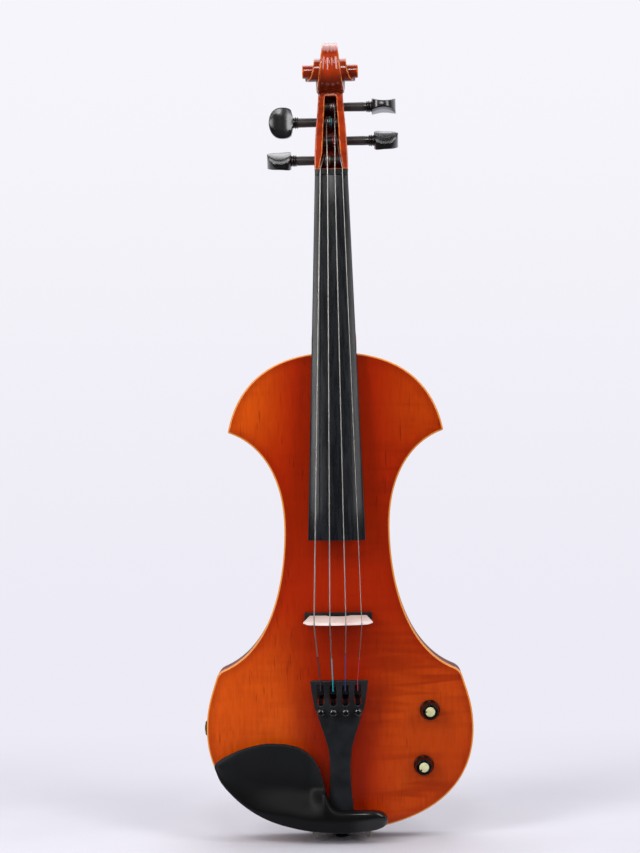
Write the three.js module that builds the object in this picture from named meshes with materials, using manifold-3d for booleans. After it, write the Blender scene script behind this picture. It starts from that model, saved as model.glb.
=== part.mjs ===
// Electric violin with a hollow, flat-topped body, after the way a luthier would take it apart.
// Millimetres. Z runs up the violin to the scroll, the top faces -Y, the treble side is +X.
// The origin is the middle of the end button's flat end.
import * as THREE from 'three';
import { mergeVertices } from 'three/addons/utils/BufferGeometryUtils.js';
import Module from 'manifold-3d';

const wasm = await Module();
wasm.setup();

// Fits
const GAP = 0.3; // around a piece that is cut to take its neighbour
const GLUE_GAP = 0.06; // glue line between wooden pieces
const OVERRUN = 20; // how far a cut runs past the face it starts from
const SINK = 2; // how far joined shapes of one piece run into each other

// Body
const BODY_LENGTH = 351.2;
const BODY_DEPTH = 33;
const LOWER_BOUT = 195;
const UPPER_TIPS = 157.8;
const WAIST = 77;
const CORNERS = 177.2;
const PLATE = 4;
const RIB_WALL = 5;
const EDGE_ROUND = 1.6;
const EDGE_STEPS = 2;
const TIP_ROUND = 1.2;
const CORNER_ROUND = 4.5;
const TIP_SHARE = 0.8343;
const WAIST_SHARE = 0.631;
const CORNER_SHARE = 0.3337;
const WIDEST_SHARE = 0.2124;
// Handles of the five curves of one side, as shares of the way between their ends
const OUTLINE_HANDLE_SHARES = [
  [0.664, 0, 0.928, 0.481],
  [0.512, 0.094, 1, 0.4045],
  [0, 0.214, 0.0876, 0.857],
  [0.436, 0.33, 1, 0.555],
  [0, 0.768, 0.5775, 1],
];
const OUTLINE_STEPS = [12, 10, 12, 4, 14];
const TIP_TRIM_SHARE = 0.9; // how much further an inset outline stops short of a tip
const CORNER_TRIM_SHARE = 0.6;
const CORNER_STEPS = 3;

// Blocks inside the body
const NECK_BLOCK_WIDTH = 54;
const NECK_BLOCK_LENGTH = 24;
const END_BLOCK_WIDTH = 48;
const END_BLOCK_LENGTH = 17;
const TIP_BLOCK_REACH = 22;
const CORNER_BLOCK_REACH = 16;

// Neck, fingerboard and nut
const BOARD_LENGTH = 266;
const BOARD_END_WIDTH = 41.6;
const NUT_WIDTH = 24.2;
const BOARD_EDGE = 5;
const BOARD_RADIUS = 42;
const BOARD_END_HEIGHT = 23; // of its surface over the top, at its free end
const BOARD_SLOPE = 0.078;
const BOARD_END_Z = 220.3;
const NUT_THICK = 4.1;
const NUT_RISE = 0.9; // of the nut over the fingerboard
const NECK_THICK_NUT = 18.4; // with the fingerboard
const NECK_THICK_HEEL = 20.6;
const HEEL_LENGTH = 30;
const HEEL_WIDTH = 33;
const BUTTON_WIDTH = 22;
const TENON_WIDTH = 28;
const TENON_LENGTH = 8;
const NECK_BACK_STEPS = 10;
const NECK_STATION_SHARES = [0, 0.3, 0.65];
const NECK_SQUARE_SHARE = 0.25; // of its depth before its back rounds off
const NECK_ROUND_POWER = 0.8;
// The heel from the fingerboard to the back: depth, width and length as shares
const HEEL_SHARES = [
  [0, 1, 1.25],
  [0.3, 1, 1],
  [0.5, 0.95, 0.62],
  [0.7, 0.85, 0.42],
  [0.9, 0.74, 0.4],
  [1, 0.7, 0.46],
];
const HEEL_ROUND_POWER = 0.7;
const BOARD_STEPS = 8;

// Pegbox and scroll
const HEAD_LENGTH = 96.9; // from the nut to the top of the scroll
const HEAD_DEPTH = 28; // unit of the side view's depths
const PEGBOX_WIDTH = 24.8;
const PEGBOX_GRAIN_STEP = 0.3; // gap between nut and pegbox cheeks
// Side view of the pegbox: along the head, front edge, back edge, and width as a share of the pegbox's
const PEGBOX_SHARES = [
  [0, -0.582, 0.214, 1],
  [0.054, -0.521, 0.375, 0.996],
  [0.136, -0.43, 0.518, 0.976],
  [0.24, -0.314, 0.625, 0.935],
  [0.363, -0.161, 0.736, 0.87],
  [0.487, -0.007, 0.857, 0.79],
  [0.57, 0.107, 0.946, 0.742],
];
// The trough: along the head, its floor, and its width
const TROUGH_SHARES = [
  [0.006, -0.07, 0.69],
  [0.064, 0.18, 0.625],
  [0.146, 0.314, 0.516],
  [0.239, 0.414, 0.476],
  [0.363, 0.525, 0.435],
  [0.487, 0.625, 0.371],
  [0.559, 0.607, 0.331],
];
const SCROLL_EYE_SHARE = 0.7606; // height of the scroll's eye along the head
const SCROLL_EYE_BACK = 7; // how far it lies behind the middle of the body
const SCROLL_RADIUS = 23.2; // from the eye to the top
const SCROLL_SHRINK = 0.6; // natural logarithm of what one turn takes off
const SCROLL_WIDTH = 41.6; // over the two eyes
const SCROLL_START = 45; // degrees round from the back
const SCROLL_SPAN = 356;
// Where the pegbox runs into the scroll, at angles round the eye: how far its front edge is
// from the eye towards the pegbox, its radius, and how much it keeps of the pegbox's width
const THROAT_ANGLES = [-22, 0, 22, 45, 55];
const THROAT_SHARES = [
  [0.55, 0.93, 0.64],
  [0, 0.88, 0.3],
  [0, 0.94, 0.09],
  [0, 1, 0],
  [0, 1, 0],
];
// Width of the spiral band at angles round it, in degrees, as a share of the width over the eyes
const SCROLL_ANGLES = [0, 45, 90, 180, 262, 360, 450, 540, 620, 720, 810, 1130];
const SCROLL_WIDTH_SHARES = [0.365, 0.29, 0.26, 0.38, 0.51, 0.54, 0.57, 0.635, 0.84, 0.96, 0.995, 1];
const SCROLL_CORE_SHARES = [0.24, 0.48, 0.995]; // width at the eye of each turn's floor
const SCROLL_STEPS = 24;
const FLUTE_DEPTH = 0.9;
const FLUTE_SHARES = [-1, -0.82, -0.42, 0, 0.42, 0.82, 1];
const FLUTE_DEPTH_SHARES = [0.55, 0, 1, 0.1, 1, 0, 0.55];

// Pegs: along the head, side of the thumb piece, and how the thumb piece is turned
const PEG_NAMES = ['g', 'd', 'a', 'e'];
const PEG_ALONG_SHARES = [0.0867, 0.389, 0.51, 0.2395];
const PEG_DEPTH_SHARES = [-0.036, 0.268, 0.393, 0.125];
const PEG_SIDES = [-1, -1, 1, 1];
const PEG_TURNS = [-56, 0, 90, -56];
const PEG_SHAFT = 7;
const PEG_TAPER_SHARE = 0.87;
const PEG_COLLAR = 9.1;
const PEG_COLLAR_GROOVE = 0.6;
const PEG_COLLAR_SHARES = [0.2, 0.4, 0.6]; // where its two rings and the groove between them lie
const PEG_COLLAR_LENGTH = 4;
const PEG_COLLAR_X = 26; // from the middle of the head to the collar
const PEG_NECK = 6;
const PEG_HEAD_LENGTH = 17.8;
const PEG_HEAD_WIDTH = 23.2;
const PEG_HEAD_THICK = 11.2;
const PEG_HEAD_WAIST = 7.6;
const PEG_HEAD_ROUND = 1;
// One side of the thumb piece: the curve's start, then two runs of handles and end
const THUMB_START_SHARE = 0.45;
const THUMB_CURVE_SHARES = [
  [0, 0.9, 0.2, 1, 0.45, 1],
  [0.85, 1, 1, 0.45, 1, 0],
];
const THUMB_STEPS = 5;
const DISH_SEGMENTS = 64;
const PEG_SEGMENTS = 16;

// Strings, from the low G to the high E
const STRING_DIAMETERS = [0.9, 0.8, 0.7, 0.5];
const STRING_NUT_SPREAD = 16.2;
const STRING_BRIDGE_SPREAD = 34.2;
const STRING_TAIL_SPREAD = 26.8;
const STRING_OVER_NUT = 0.2;
const WINDING_TURNS = 3;
const WINDING_CLEAR = 0.5; // between neighbouring turns on a peg
const WINDING_STEPS = 12;
const WINDING_START_SHARES = [-0.42, -0.3, 0.3, 0.42]; // of the trough's half width
const STRING_SIDES = 6;

// Bridge and the pickup under it
const BRIDGE_Z = 161;
const BRIDGE_HEIGHT = 33; // of its top over the violin's top
const BRIDGE_FOOT_WIDTH = 42.8;
const BRIDGE_TOP_WIDTH = 50;
const BRIDGE_FOOT_LENGTH = 12;
const BRIDGE_ARCH = 3.4;
const BRIDGE_BASE = 4.8;
const BRIDGE_EDGE = 1.6;
const BRIDGE_RADIUS = 42;
const BRIDGE_SHOULDER = 2.2;
const BRIDGE_ARCH_SHARES = [-0.8, -0.4, 0.4, 0.8];
const PICKUP_LENGTH = 49;
const PICKUP_WIDTH = 7.6;
const PICKUP_Z = 163.2; // its middle
const PICKUP_HEIGHT = 6;
const LEAD_DIAMETER = 1.6;
const LEAD_HOLE = 3.2;

// Tailpiece with its fine tuners
const TAIL_HEAD_Z = 119;
const TAIL_END_Z = 17;
const TAIL_HEAD_WIDTH = 40.8;
const TAIL_HEAD_HEIGHT = 20.4;
const TAIL_END_HEIGHT = 12.6;
const TAIL_THICK = 8.2;
const TAIL_RADIUS = 46;
// Down the tailpiece: along it, width and thickness as shares of the head's
const TAIL_SHARES = [
  [0, 1, 1],
  [0.08, 0.965, 1],
  [0.2, 0.86, 1],
  [0.26, 0.76, 0.95],
  [0.33, 0.6, 0.8],
  [0.41, 0.45, 0.7],
  [0.5, 0.375, 0.66],
  [0.62, 0.353, 0.66],
  [0.76, 0.37, 0.7],
  [0.88, 0.41, 0.8],
  [0.97, 0.44, 0.86],
  [1, 0.4, 0.8],
];
const TAIL_CROSS_STEPS = 6;
const TAIL_UNDER_SHARE = 0.8; // width of its underside
const SLOT_WIDTH = 4.4;
const SLOT_TOP_SHARE = 0.04; // ends of the slots along the tailpiece
const SLOT_END_SHARE = 0.17;
const TUNER_SHARE = 0.222; // the fine tuner screws along the tailpiece
const TUNER_HEAD = 6;
const TUNER_HEAD_HEIGHT = 5;
const TUNER_HEAD_SHARES = [[0, 0.8], [0.25, 1], [0.6, 1], [0.9, 0.6], [1, 0]]; // height and radius
const TUNER_STEM = 2.6;
const TUNER_LENGTH = 12;
const AXLE_DIAMETER = 1.6;
const AXLE_SHARE = 0.083;
const AXLE_DEPTH = 5.6; // below the head's surface
const AXLE_SPAN_SHARE = 0.88;
const LEVER_WIDTH = 2.6;
const LEVER_THICK = 1.8;
const HOOK_RISE = 2.6;
const TAIL_POCKET_SHARE = 0.6; // depth of the pocket under each screw

// Tailgut, saddle and end button
const BUTTON_REACH = 6.4; // end button below the body
const BUTTON_DIAMETER = 14;
const BUTTON_FACE = 8;
const BUTTON_HEAD = 3.6;
const BUTTON_NECK = 8;
const BUTTON_SHAFT = 7.4;
const BUTTON_SHAFT_LENGTH = 18;
const BUTTON_HEAD_SHARES = [[0.35, 0.93], [0.65, 1], [1, 0.9]]; // along its head, and radius
const BUTTON_TAPER_SHARE = 0.94;
const BUTTON_SEGMENTS = 24;
const GUT_DIAMETER = 1.9;
const GUT_SPREAD = 7;
const GUT_STEPS = 10;
const GUT_SIDES = 8;
const GUT_END_SHARE = 0.9; // where its ends lie inside the tailpiece
const GUT_HOLE_SHARE = 0.86;
// Over the saddle and down to the button: how far it has spread towards the button's sides
const GUT_SPREAD_SHARES = [0.4, 0.7, 0.85, 0.95];
const GUT_SADDLE_SHARES = [0.8, 0.2]; // along the saddle
const SADDLE_WIDTH = 28;
const SADDLE_LENGTH = 6.5;
const SADDLE_RISE = 3.6;

// Chinrest and its clamp
const REST_LENGTH = 123.2;
const REST_LEFT_X = -90.4;
const REST_WIDTH = 62;
const REST_FOOT_Z = 9;
const REST_DISH_HEIGHT = 15.5; // of the dish over the violin's top
const REST_RIM = 2;
const REST_ARM_HEIGHT = 26;
const REST_THICK = 6;
const REST_EDGE = 3.4;
const REST_APRON = 9.2; // width of the slope outside its ridge
const REST_APRON_DROP = 4.6;
const REST_APRON_SHARES = [0.16, 0.46]; // along the rest, where the apron grows to its full width
const REST_VALLEY = 12; // from the ridge down to the dish
const REST_ARM_ROUND_SHARE = 0.5; // of the arm's width beyond its ridge
const REST_CREST_SHARE = 0.62; // of the width, that the apron may take
const REST_FLAT_SHARE = 0.7; // of the dish, that stays level before its far edge
// Across the violin: along the rest, lower edge, upper edge, and how much of the arm's height it has
const REST_SHARES = [
  [0, 0.752, 0.772, 0],
  [0.03, 0.6, 0.83, 0],
  [0.08, 0.475, 0.885, 0],
  [0.15, 0.345, 0.945, 0.1],
  [0.23, 0.235, 0.99, 0.25],
  [0.31, 0.15, 1.015, 0.45],
  [0.39, 0.09, 1.01, 0.6],
  [0.47, 0.05, 0.98, 0.75],
  [0.53, 0.028, 0.92, 0.85],
  [0.575, 0.016, 0.84, 0.9],
  [0.61, 0.01, 0.72, 0.95],
  [0.635, 0.006, 0.55, 1],
  [0.66, 0.003, 0.36, 1],
  [0.695, 0, 0.25, 1],
  [0.75, 0, 0.232, 1],
  [0.85, 0.012, 0.232, 0.98],
  [0.93, 0.03, 0.226, 0.9],
  [0.975, 0.058, 0.195, 0.7],
  [1, 0.1, 0.14, 0.45],
];
const REST_RISE_SHARES = [0.54, 0.68]; // where the dish rises into the arm
const FOOT_SPACING = 38.6; // between the two clamp screws
const PAD_SPACING = 44;
const FOOT_WIDTH = 15;
const FOOT_LENGTH = 7.5;
const FOOT_HEIGHT = 19;
const CORK = 1.6;
const HOOK_PLATE = 1.6;
const HOOK_WIDTH = 3.8;
const HOOK_REACH_SHARE = 0.75; // of the foot's length
const HOOK_HEIGHT = 5.4;
const ROD_DIAMETER = 2.4;
const BARREL_DIAMETER = 4.2;
const BARREL_END_SHARE = 0.84; // radius of its chamfered ends
const BARREL_BODY_SHARE = 0.8; // of its half length
const BARREL_LENGTH = 12;
const BARREL_BACK = 3;
const ROD_TRAVEL = 3.2;
const BRACKET_LENGTH = 9;
const BRACKET_END = 7;
const CLAMP_SEGMENTS = 12;

// Knobs and the parts under them, and the output jack
const KNOB_NAMES = ['volume', 'tone'];
const KNOB_X = [65.7, 60.6];
const KNOB_RISE = [13.8, -26.3]; // above the widest part of the body
const KNOB_TURNS = [90, 135];
const KNOB_DIAMETER = 14.6;
const KNOB_TOP = 11.4;
const KNOB_HEIGHT = 13;
const KNOB_CLEAR = 0.5;
const KNOB_SKIRT_SHARES = [[0.7, 0.93], [0.8, 1]]; // down the knob, and radius
const CAP_DIAMETER = 7.8;
const CAP_THICK = 1.2;
const NOTCH = 1.1;
const SHAFT_DIAMETER = 4.8;
const BUSHING_DIAMETER = 7;
const BUSHING_HEIGHT = 3.6;
const POT_DIAMETER = 16;
const POT_HEIGHT = 8;
const POT_NUT = 10;
const POT_NUT_THICK = 2;
const HEX = 6;
const JACK_BORE = 6.6;
const JACK_THREAD = 9.5;
const JACK_BODY = 15;
const JACK_BODY_LENGTH = 22;
const JACK_NUT = 11.4;
const JACK_NUT_THICK = 1.6;
const JACK_CHAMFER_SHARE = 0.92;
const JACK_STAND_OUT = 0.6;
const JACK_SEAT = 0.8; // between its body and the curved side wall
const ROUND_SEGMENTS = 20;
const LEAD_SIDES = 8;
const LEAD_STEPS = 4; // between the points of a lead's route
const LEAD_TURN_SHARE = 1.5; // how far from a potentiometer a lead turns down, in its steps

// Places that follow from the sizes
const FRONT = -BODY_DEPTH / 2;
const BACK = BODY_DEPTH / 2;
const FOOT = BUTTON_REACH;
const HEAD = FOOT + BODY_LENGTH;
const INNER_FRONT = FRONT + PLATE;
const INNER_BACK = BACK - PLATE;
const NUT_Z = BOARD_END_Z + BOARD_LENGTH;
const HEAD_Z = NUT_Z + NUT_THICK;
const WIDEST_Z = FOOT + BODY_LENGTH * WIDEST_SHARE;
const KNOB_Z = KNOB_RISE.map((rise) => WIDEST_Z + rise);
const ahead = (height) => FRONT - height;
const lerp = THREE.MathUtils.lerp;
const radians = THREE.MathUtils.degToRad;

const violin = new THREE.Group();

// Finishes
const finish = (color, roughness, metalness = 0) => ({ color, roughness, metalness });
const VARNISH = finish('#a8320a', 0.25);
const DARK_VARNISH = finish('#5e1a08', 0.3);
const BARE_SPRUCE = finish('#d2b07a', 0.8);
const BLACK_WOOD = finish('#1b1b1d', 0.45);
const BLACK_PLASTIC = finish('#141416', 0.35);
const GLOSS_BLACK = finish('#08080a', 0.12);
const MAPLE = finish('#e6cdb8', 0.6);
const STRING_METAL = finish('#b9b7b2', 0.3, 1);
const NICKEL = finish('#c9c4b8', 0.25, 1);
const CREAM = finish('#e0d9a8', 0.4);
const CORK_FINISH = finish('#a9784a', 0.9);
const NYLON = finish('#1a1a1a', 0.5);
const RED_LEAD = finish('#7d1414', 0.5);

// Closed meshes to solids and back
function closed(geometry) {
  const { position } = geometry.attributes;
  const order = geometry.index ? geometry.index.array : Array.from({ length: position.count }, (_, k) => k);
  return outward(Array.from(position.array), Array.from(order));
}

function solid(geometry) {
  const merged = closed(geometry);
  return new wasm.Manifold(new wasm.Mesh({
    numProp: 3,
    vertProperties: new Float32Array(merged.attributes.position.array),
    triVerts: new Uint32Array(merged.index.array),
  }));
}

function mesh(body) {
  const { vertProperties, triVerts } = body.getMesh();
  const geometry = new THREE.BufferGeometry();
  geometry.setAttribute('position', new THREE.BufferAttribute(new Float32Array(vertProperties), 3));
  geometry.setIndex(new THREE.BufferAttribute(new Uint32Array(triVerts), 1));
  return geometry;
}

const cut = (whole, ...tools) => mesh(tools.reduce((body, tool) => body.subtract(solid(tool)), solid(whole)));
const join = (whole, ...more) => mesh(more.reduce((body, other) => body.add(solid(other)), solid(whole)));
const common = (one, other) => mesh(solid(one).intersect(solid(other)));

function add(name, geometry, { color, roughness, metalness }) {
  const shape = closed(geometry);
  shape.computeVertexNormals();
  const piece = new THREE.Mesh(shape, new THREE.MeshStandardMaterial({ color, roughness, metalness }));
  piece.name = name;
  violin.add(piece);
}

// Box between two corners
function box(x0, x1, y0, y1, z0, z1) {
  const shape = new THREE.BoxGeometry(Math.abs(x1 - x0), Math.abs(y1 - y0), Math.abs(z1 - z0));
  return shape.translate((x0 + x1) / 2, (y0 + y1) / 2, (z0 + z1) / 2);
}

// Outline in the plane of the top, given depth from its back face towards the front
function slab(points, back, front) {
  const outline = new THREE.Shape(points);
  const shape = new THREE.ExtrudeGeometry(outline, { depth: back - front, bevelEnabled: false });
  return shape.rotateX(Math.PI / 2).translate(0, back, 0);
}

// Turned piece from pairs of distance along its axis and radius, along 'x', 'y' or 'z'
function turned(axis, profile, segments = ROUND_SEGMENTS) {
  const points = profile.map(([along, radius]) => new THREE.Vector2(radius, along));
  const shape = new THREE.LatheGeometry(points, segments);
  if (axis === 'x') shape.rotateZ(-Math.PI / 2);
  if (axis === 'z') shape.rotateX(Math.PI / 2);
  return shape;
}

function rod(axis, from, to, radius, segments = ROUND_SEGMENTS) {
  const low = Math.min(from, to);
  const high = Math.max(from, to);
  return turned(axis, [[low, 0], [low, radius], [high, radius], [high, 0]], segments);
}

// Outline given depth along X, from pairs of height and depth
function across(points, width) {
  const outline = new THREE.Shape(points.map(([z, y]) => new THREE.Vector2(y, z)));
  return new THREE.ExtrudeGeometry(outline, { depth: width, bevelEnabled: false })
    .applyMatrix4(new THREE.Matrix4().makeBasis(at(0, 1, 0), at(0, 0, 1), at(1, 0, 0)));
}

// Skin over rings of points that follow each other, closed at both ends
function loft(rings) {
  const sides = rings[0].length;
  const positions = rings.flat().flatMap((p) => [p.x, p.y, p.z]);
  const triangles = [];
  rings.slice(1).forEach((ring, i) => {
    for (let k = 0; k < sides; k += 1) {
      const a = i * sides + k;
      const b = i * sides + ((k + 1) % sides);
      triangles.push(a, b, b + sides, a, b + sides, a + sides);
    }
  });
  const first = capTriangles(rings[0]);
  const last = capTriangles(rings.at(-1));
  first.forEach(([a, b, c]) => triangles.push(a, c, b));
  last.forEach(([a, b, c]) => triangles.push(...[a, b, c].map((k) => k + (rings.length - 1) * sides)));
  return outward(positions, triangles);
}

// Triangles over one flat ring, all turned the way that the ring turns
function capTriangles(ring) {
  const normal = new THREE.Vector3();
  ring.forEach((p, k) => {
    const q = ring[(k + 1) % ring.length];
    normal.add(new THREE.Vector3().crossVectors(p, q));
  });
  normal.normalize();
  const across = new THREE.Vector3().subVectors(ring[1], ring[0]).normalize();
  const up = new THREE.Vector3().crossVectors(normal, across);
  const flat = ring.map((p) => new THREE.Vector2(p.dot(across), p.dot(up)));
  return THREE.ShapeUtils.triangulateShape(flat, []).map(([a, b, c]) => {
    const turn = new THREE.Vector2().subVectors(flat[b], flat[a])
      .cross(new THREE.Vector2().subVectors(flat[c], flat[a]));
    return turn > 0 ? [a, b, c] : [a, c, b];
  });
}

// Drops the triangles that merge to nothing and turns the rest outwards
function outward(positions, triangles) {
  const loose = new THREE.BufferGeometry();
  loose.setAttribute('position', new THREE.Float32BufferAttribute(positions, 3));
  loose.setIndex(triangles);
  const shape = mergeVertices(loose, 1e-4);
  const p = shape.attributes.position;
  const corner = (i) => new THREE.Vector3().fromBufferAttribute(p, i);
  const kept = [];
  let volume = 0;
  for (let t = 0; t < shape.index.count; t += 3) {
    const [a, b, c] = [0, 1, 2].map((k) => shape.index.getX(t + k));
    if (a !== b && b !== c && c !== a) {
      kept.push([a, b, c]);
      volume += corner(a).dot(corner(b).cross(corner(c)));
    }
  }
  shape.setIndex(kept.flatMap(([a, b, c]) => (volume > 0 ? [a, b, c] : [a, c, b])));
  return shape;
}

// Round bar along a run of points
function tube(points, radius, sides) {
  const rings = [];
  let side = new THREE.Vector3(1, 0, 0);
  points.forEach((point, i) => {
    const before = points[Math.max(i - 1, 0)];
    const after = points[Math.min(i + 1, points.length - 1)];
    const along = new THREE.Vector3().subVectors(after, before).normalize();
    side = side.clone().addScaledVector(along, -side.dot(along));
    if (side.lengthSq() < 1e-3) side = new THREE.Vector3(along.y, along.z, along.x).cross(along);
    side.normalize();
    const up = new THREE.Vector3().crossVectors(along, side);
    rings.push(Array.from({ length: sides }, (_, k) => {
      const angle = (2 * Math.PI * k) / sides;
      return point.clone().addScaledVector(side, radius * Math.cos(angle))
        .addScaledVector(up, radius * Math.sin(angle));
    }));
  });
  return loft(rings);
}

const at = (x, y, z) => new THREE.Vector3(x, y, z);

// Outline of the body, moved inwards by a distance
function bodyOutline(inset) {
  const z = (share) => FOOT + BODY_LENGTH * share;
  const anchors = [
    [0, HEAD], [UPPER_TIPS / 2, z(TIP_SHARE)], [WAIST / 2, z(WAIST_SHARE)],
    [CORNERS / 2, z(CORNER_SHARE)], [LOWER_BOUT / 2, WIDEST_Z], [0, FOOT],
  ].map(([x, y]) => new THREE.Vector2(x, y));
  const curves = OUTLINE_HANDLE_SHARES.map(([ax, az, bx, bz], i) => {
    const [from, to] = [anchors[i], anchors[i + 1]];
    const handle = (sx, sz) => new THREE.Vector2(lerp(from.x, to.x, sx), lerp(from.y, to.y, sz));
    return new THREE.CubicBezierCurve(from, handle(ax, az), handle(bx, bz), to);
  });
  const tip = TIP_ROUND + Math.max(inset, 0) * TIP_TRIM_SHARE;
  const corner = CORNER_ROUND + Math.max(inset, 0) * CORNER_TRIM_SHARE;
  const trims = [[0, tip], [tip, 0], [0, corner], [corner, 0], [0, 0]];
  const runs = curves.map((curve, i) => {
    const length = curve.getLength();
    const [from, to] = [trims[i][0] / length, 1 - trims[i][1] / length];
    return Array.from({ length: OUTLINE_STEPS[i] + 1 }, (_, k) => {
      const share = lerp(from, to, k / OUTLINE_STEPS[i]);
      const tangent = curve.getTangentAt(share);
      const point = curve.getPointAt(share);
      return { point: point.add(new THREE.Vector2(tangent.y, -tangent.x).multiplyScalar(inset)), tangent };
    });
  });
  const right = runs[0].map(({ point }) => point);
  runs.slice(1).forEach((run, i) => {
    const end = runs[i].at(-1);
    const start = run[0];
    if (trims[i][1] > 0) {
      const gap = new THREE.Vector2().subVectors(start.point, end.point);
      const reach = gap.cross(start.tangent) / end.tangent.cross(start.tangent);
      const peak = end.point.clone().addScaledVector(end.tangent, reach);
      const bend = new THREE.QuadraticBezierCurve(end.point, peak, start.point);
      right.push(...bend.getPoints(CORNER_STEPS).slice(1));
    }
    right.push(...run.slice(1).map(({ point }) => point));
  });
  const left = right.slice(1, -1).reverse().map(({ x, y }) => new THREE.Vector2(-x, y));
  return [...right, ...left].reverse();
}

// Heights of the fingerboard's surface and of the plane that it is glued to
const surfaceHeight = (z) => BOARD_END_HEIGHT - (z - BOARD_END_Z) * BOARD_SLOPE;
const boardHalf = (z) => lerp(BOARD_END_WIDTH, NUT_WIDTH, (z - BOARD_END_Z) / BOARD_LENGTH) / 2;
const crown = (radius, x) => radius - Math.sqrt(radius * radius - x * x);
const underHeight = (z) => {
  const bottom = (level) => surfaceHeight(level) - crown(BOARD_RADIUS, boardHalf(level)) - BOARD_EDGE;
  return lerp(bottom(BOARD_END_Z), bottom(NUT_Z), (z - BOARD_END_Z) / BOARD_LENGTH);
};

// Body
const buttonHole = () => rod('z', 0, FOOT + END_BLOCK_LENGTH + RIB_WALL + OVERRUN, BUTTON_SHAFT / 2 + GAP);
const mortise = () => box(
  -TENON_WIDTH / 2 - GAP, TENON_WIDTH / 2 + GAP, ahead(OVERRUN), INNER_BACK,
  HEAD - TENON_LENGTH - GAP, HEAD + OVERRUN,
);
function jackHole() {
  const wall = -LOWER_BOUT / 2;
  const bore = rod('x', wall - OVERRUN, wall + RIB_WALL + OVERRUN, JACK_THREAD / 2 + GAP);
  const nutFace = rod('x', wall - OVERRUN, wall - GLUE_GAP / 2, JACK_NUT / 2 + GAP);
  return join(bore, nutFace).translate(0, 0, WIDEST_Z);
}
const saddleSeat = (gap) => box(
  -SADDLE_WIDTH / 2 - gap, SADDLE_WIDTH / 2 + gap, ahead(OVERRUN), INNER_FRONT,
  FOOT - OVERRUN, FOOT + SADDLE_LENGTH + gap,
);

function plate(outside, inside) {
  const facing = Math.sign(outside - inside);
  const rings = [[0, inside]];
  for (let k = 0; k <= EDGE_STEPS; k += 1) {
    const angle = (Math.PI / 2) * (k / EDGE_STEPS);
    rings.push([EDGE_ROUND * (1 - Math.cos(angle)), outside - facing * EDGE_ROUND * (1 - Math.sin(angle))]);
  }
  return loft(rings.map(([inset, y]) => bodyOutline(inset).map((p) => at(p.x, y, p.y))));
}

function addBody() {
  const hole = (x, z, radius) => rod('y', FRONT - OVERRUN, INNER_FRONT + OVERRUN, radius).translate(x, 0, z);
  const potHoles = KNOB_NAMES.map((_, i) => hole(KNOB_X[i], KNOB_Z[i], BUSHING_DIAMETER / 2 + GAP));
  const leadHole = hole(0, PICKUP_Z, LEAD_HOLE / 2);
  const top = cut(plate(FRONT, INNER_FRONT), mortise(), saddleSeat(GAP), leadHole, ...potHoles);
  add('top_plate', top, VARNISH);
  add('back_plate', plate(BACK, INNER_BACK), DARK_VARNISH);
  const ring = slab(bodyOutline(0), INNER_BACK, INNER_FRONT);
  const hollow = slab(bodyOutline(RIB_WALL), INNER_BACK + OVERRUN, INNER_FRONT - OVERRUN);
  add('ribs', cut(ring, hollow, mortise(), buttonHole(), jackHole()), DARK_VARNISH);
}

function addBlocks() {
  const inside = slab(bodyOutline(RIB_WALL + GLUE_GAP), INNER_BACK - GLUE_GAP, INNER_FRONT + GLUE_GAP);
  const room = BODY_DEPTH + OVERRUN;
  const part = (x0, x1, z0, z1) => common(inside, box(x0, x1, -room, room, z0, z1));
  const [neckHalf, neckFoot] = [NECK_BLOCK_WIDTH / 2, HEAD - RIB_WALL - NECK_BLOCK_LENGTH];
  const neckBlock = part(-neckHalf, neckHalf, neckFoot, HEAD);
  add('neck_block', cut(neckBlock, mortise()), BARE_SPRUCE);
  const endBlock = part(-END_BLOCK_WIDTH / 2, END_BLOCK_WIDTH / 2, FOOT, FOOT + RIB_WALL + END_BLOCK_LENGTH);
  add('end_block', cut(endBlock, buttonHole()), BARE_SPRUCE);
  const tipZ = FOOT + BODY_LENGTH * TIP_SHARE;
  const cornerZ = FOOT + BODY_LENGTH * CORNER_SHARE;
  const tipX = UPPER_TIPS / 2;
  const cornerX = CORNERS / 2;
  [['left', -1], ['right', 1]].forEach(([name, side]) => {
    const span = (half, reach) => [side * (half - reach), side * (half + OVERRUN)].sort((a, b) => a - b);
    const tip = part(...span(tipX, TIP_BLOCK_REACH), tipZ - OVERRUN, tipZ + TIP_BLOCK_REACH);
    add(`upper_block_${name}`, tip, BARE_SPRUCE);
    const cornerSpan = span(cornerX, CORNER_BLOCK_REACH);
    const corner = part(...cornerSpan, cornerZ - CORNER_BLOCK_REACH, cornerZ + OVERRUN);
    add(`lower_block_${name}`, corner, BARE_SPRUCE);
  });
}

// Fingerboard and nut, both crowned across
function crownedRing(z, half, bottom, top, radius) {
  const ring = [at(half, ahead(bottom), z), at(-half, ahead(bottom), z)];
  for (let k = 0; k <= BOARD_STEPS; k += 1) {
    const x = half * (2 * k / BOARD_STEPS - 1);
    ring.push(at(x, ahead(top - crown(radius, x)), z));
  }
  return ring;
}

function addFingerboard() {
  const stations = [BOARD_END_Z, NUT_Z].map((z) => crownedRing(
    z, boardHalf(z), underHeight(z) + GLUE_GAP, surfaceHeight(z), BOARD_RADIUS,
  ));
  add('fingerboard', loft(stations), BLACK_WOOD);
  const nut = loft([NUT_Z + GLUE_GAP, HEAD_Z - GLUE_GAP].map((z) => crownedRing(
    z, NUT_WIDTH / 2, underHeight(z) + GLUE_GAP, surfaceHeight(z) + NUT_RISE, BOARD_RADIUS,
  )));
  const grooves = STRING_DIAMETERS.map((_, i) => {
    const { nutX, nutY } = stringPlaces(i);
    const radius = STRING_DIAMETERS[i] / 2 + GAP;
    return rod('z', NUT_Z - OVERRUN, HEAD_Z + OVERRUN, radius, STRING_SIDES).translate(nutX, nutY, 0);
  });
  add('nut', cut(nut, ...grooves), BLACK_WOOD);
}

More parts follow.
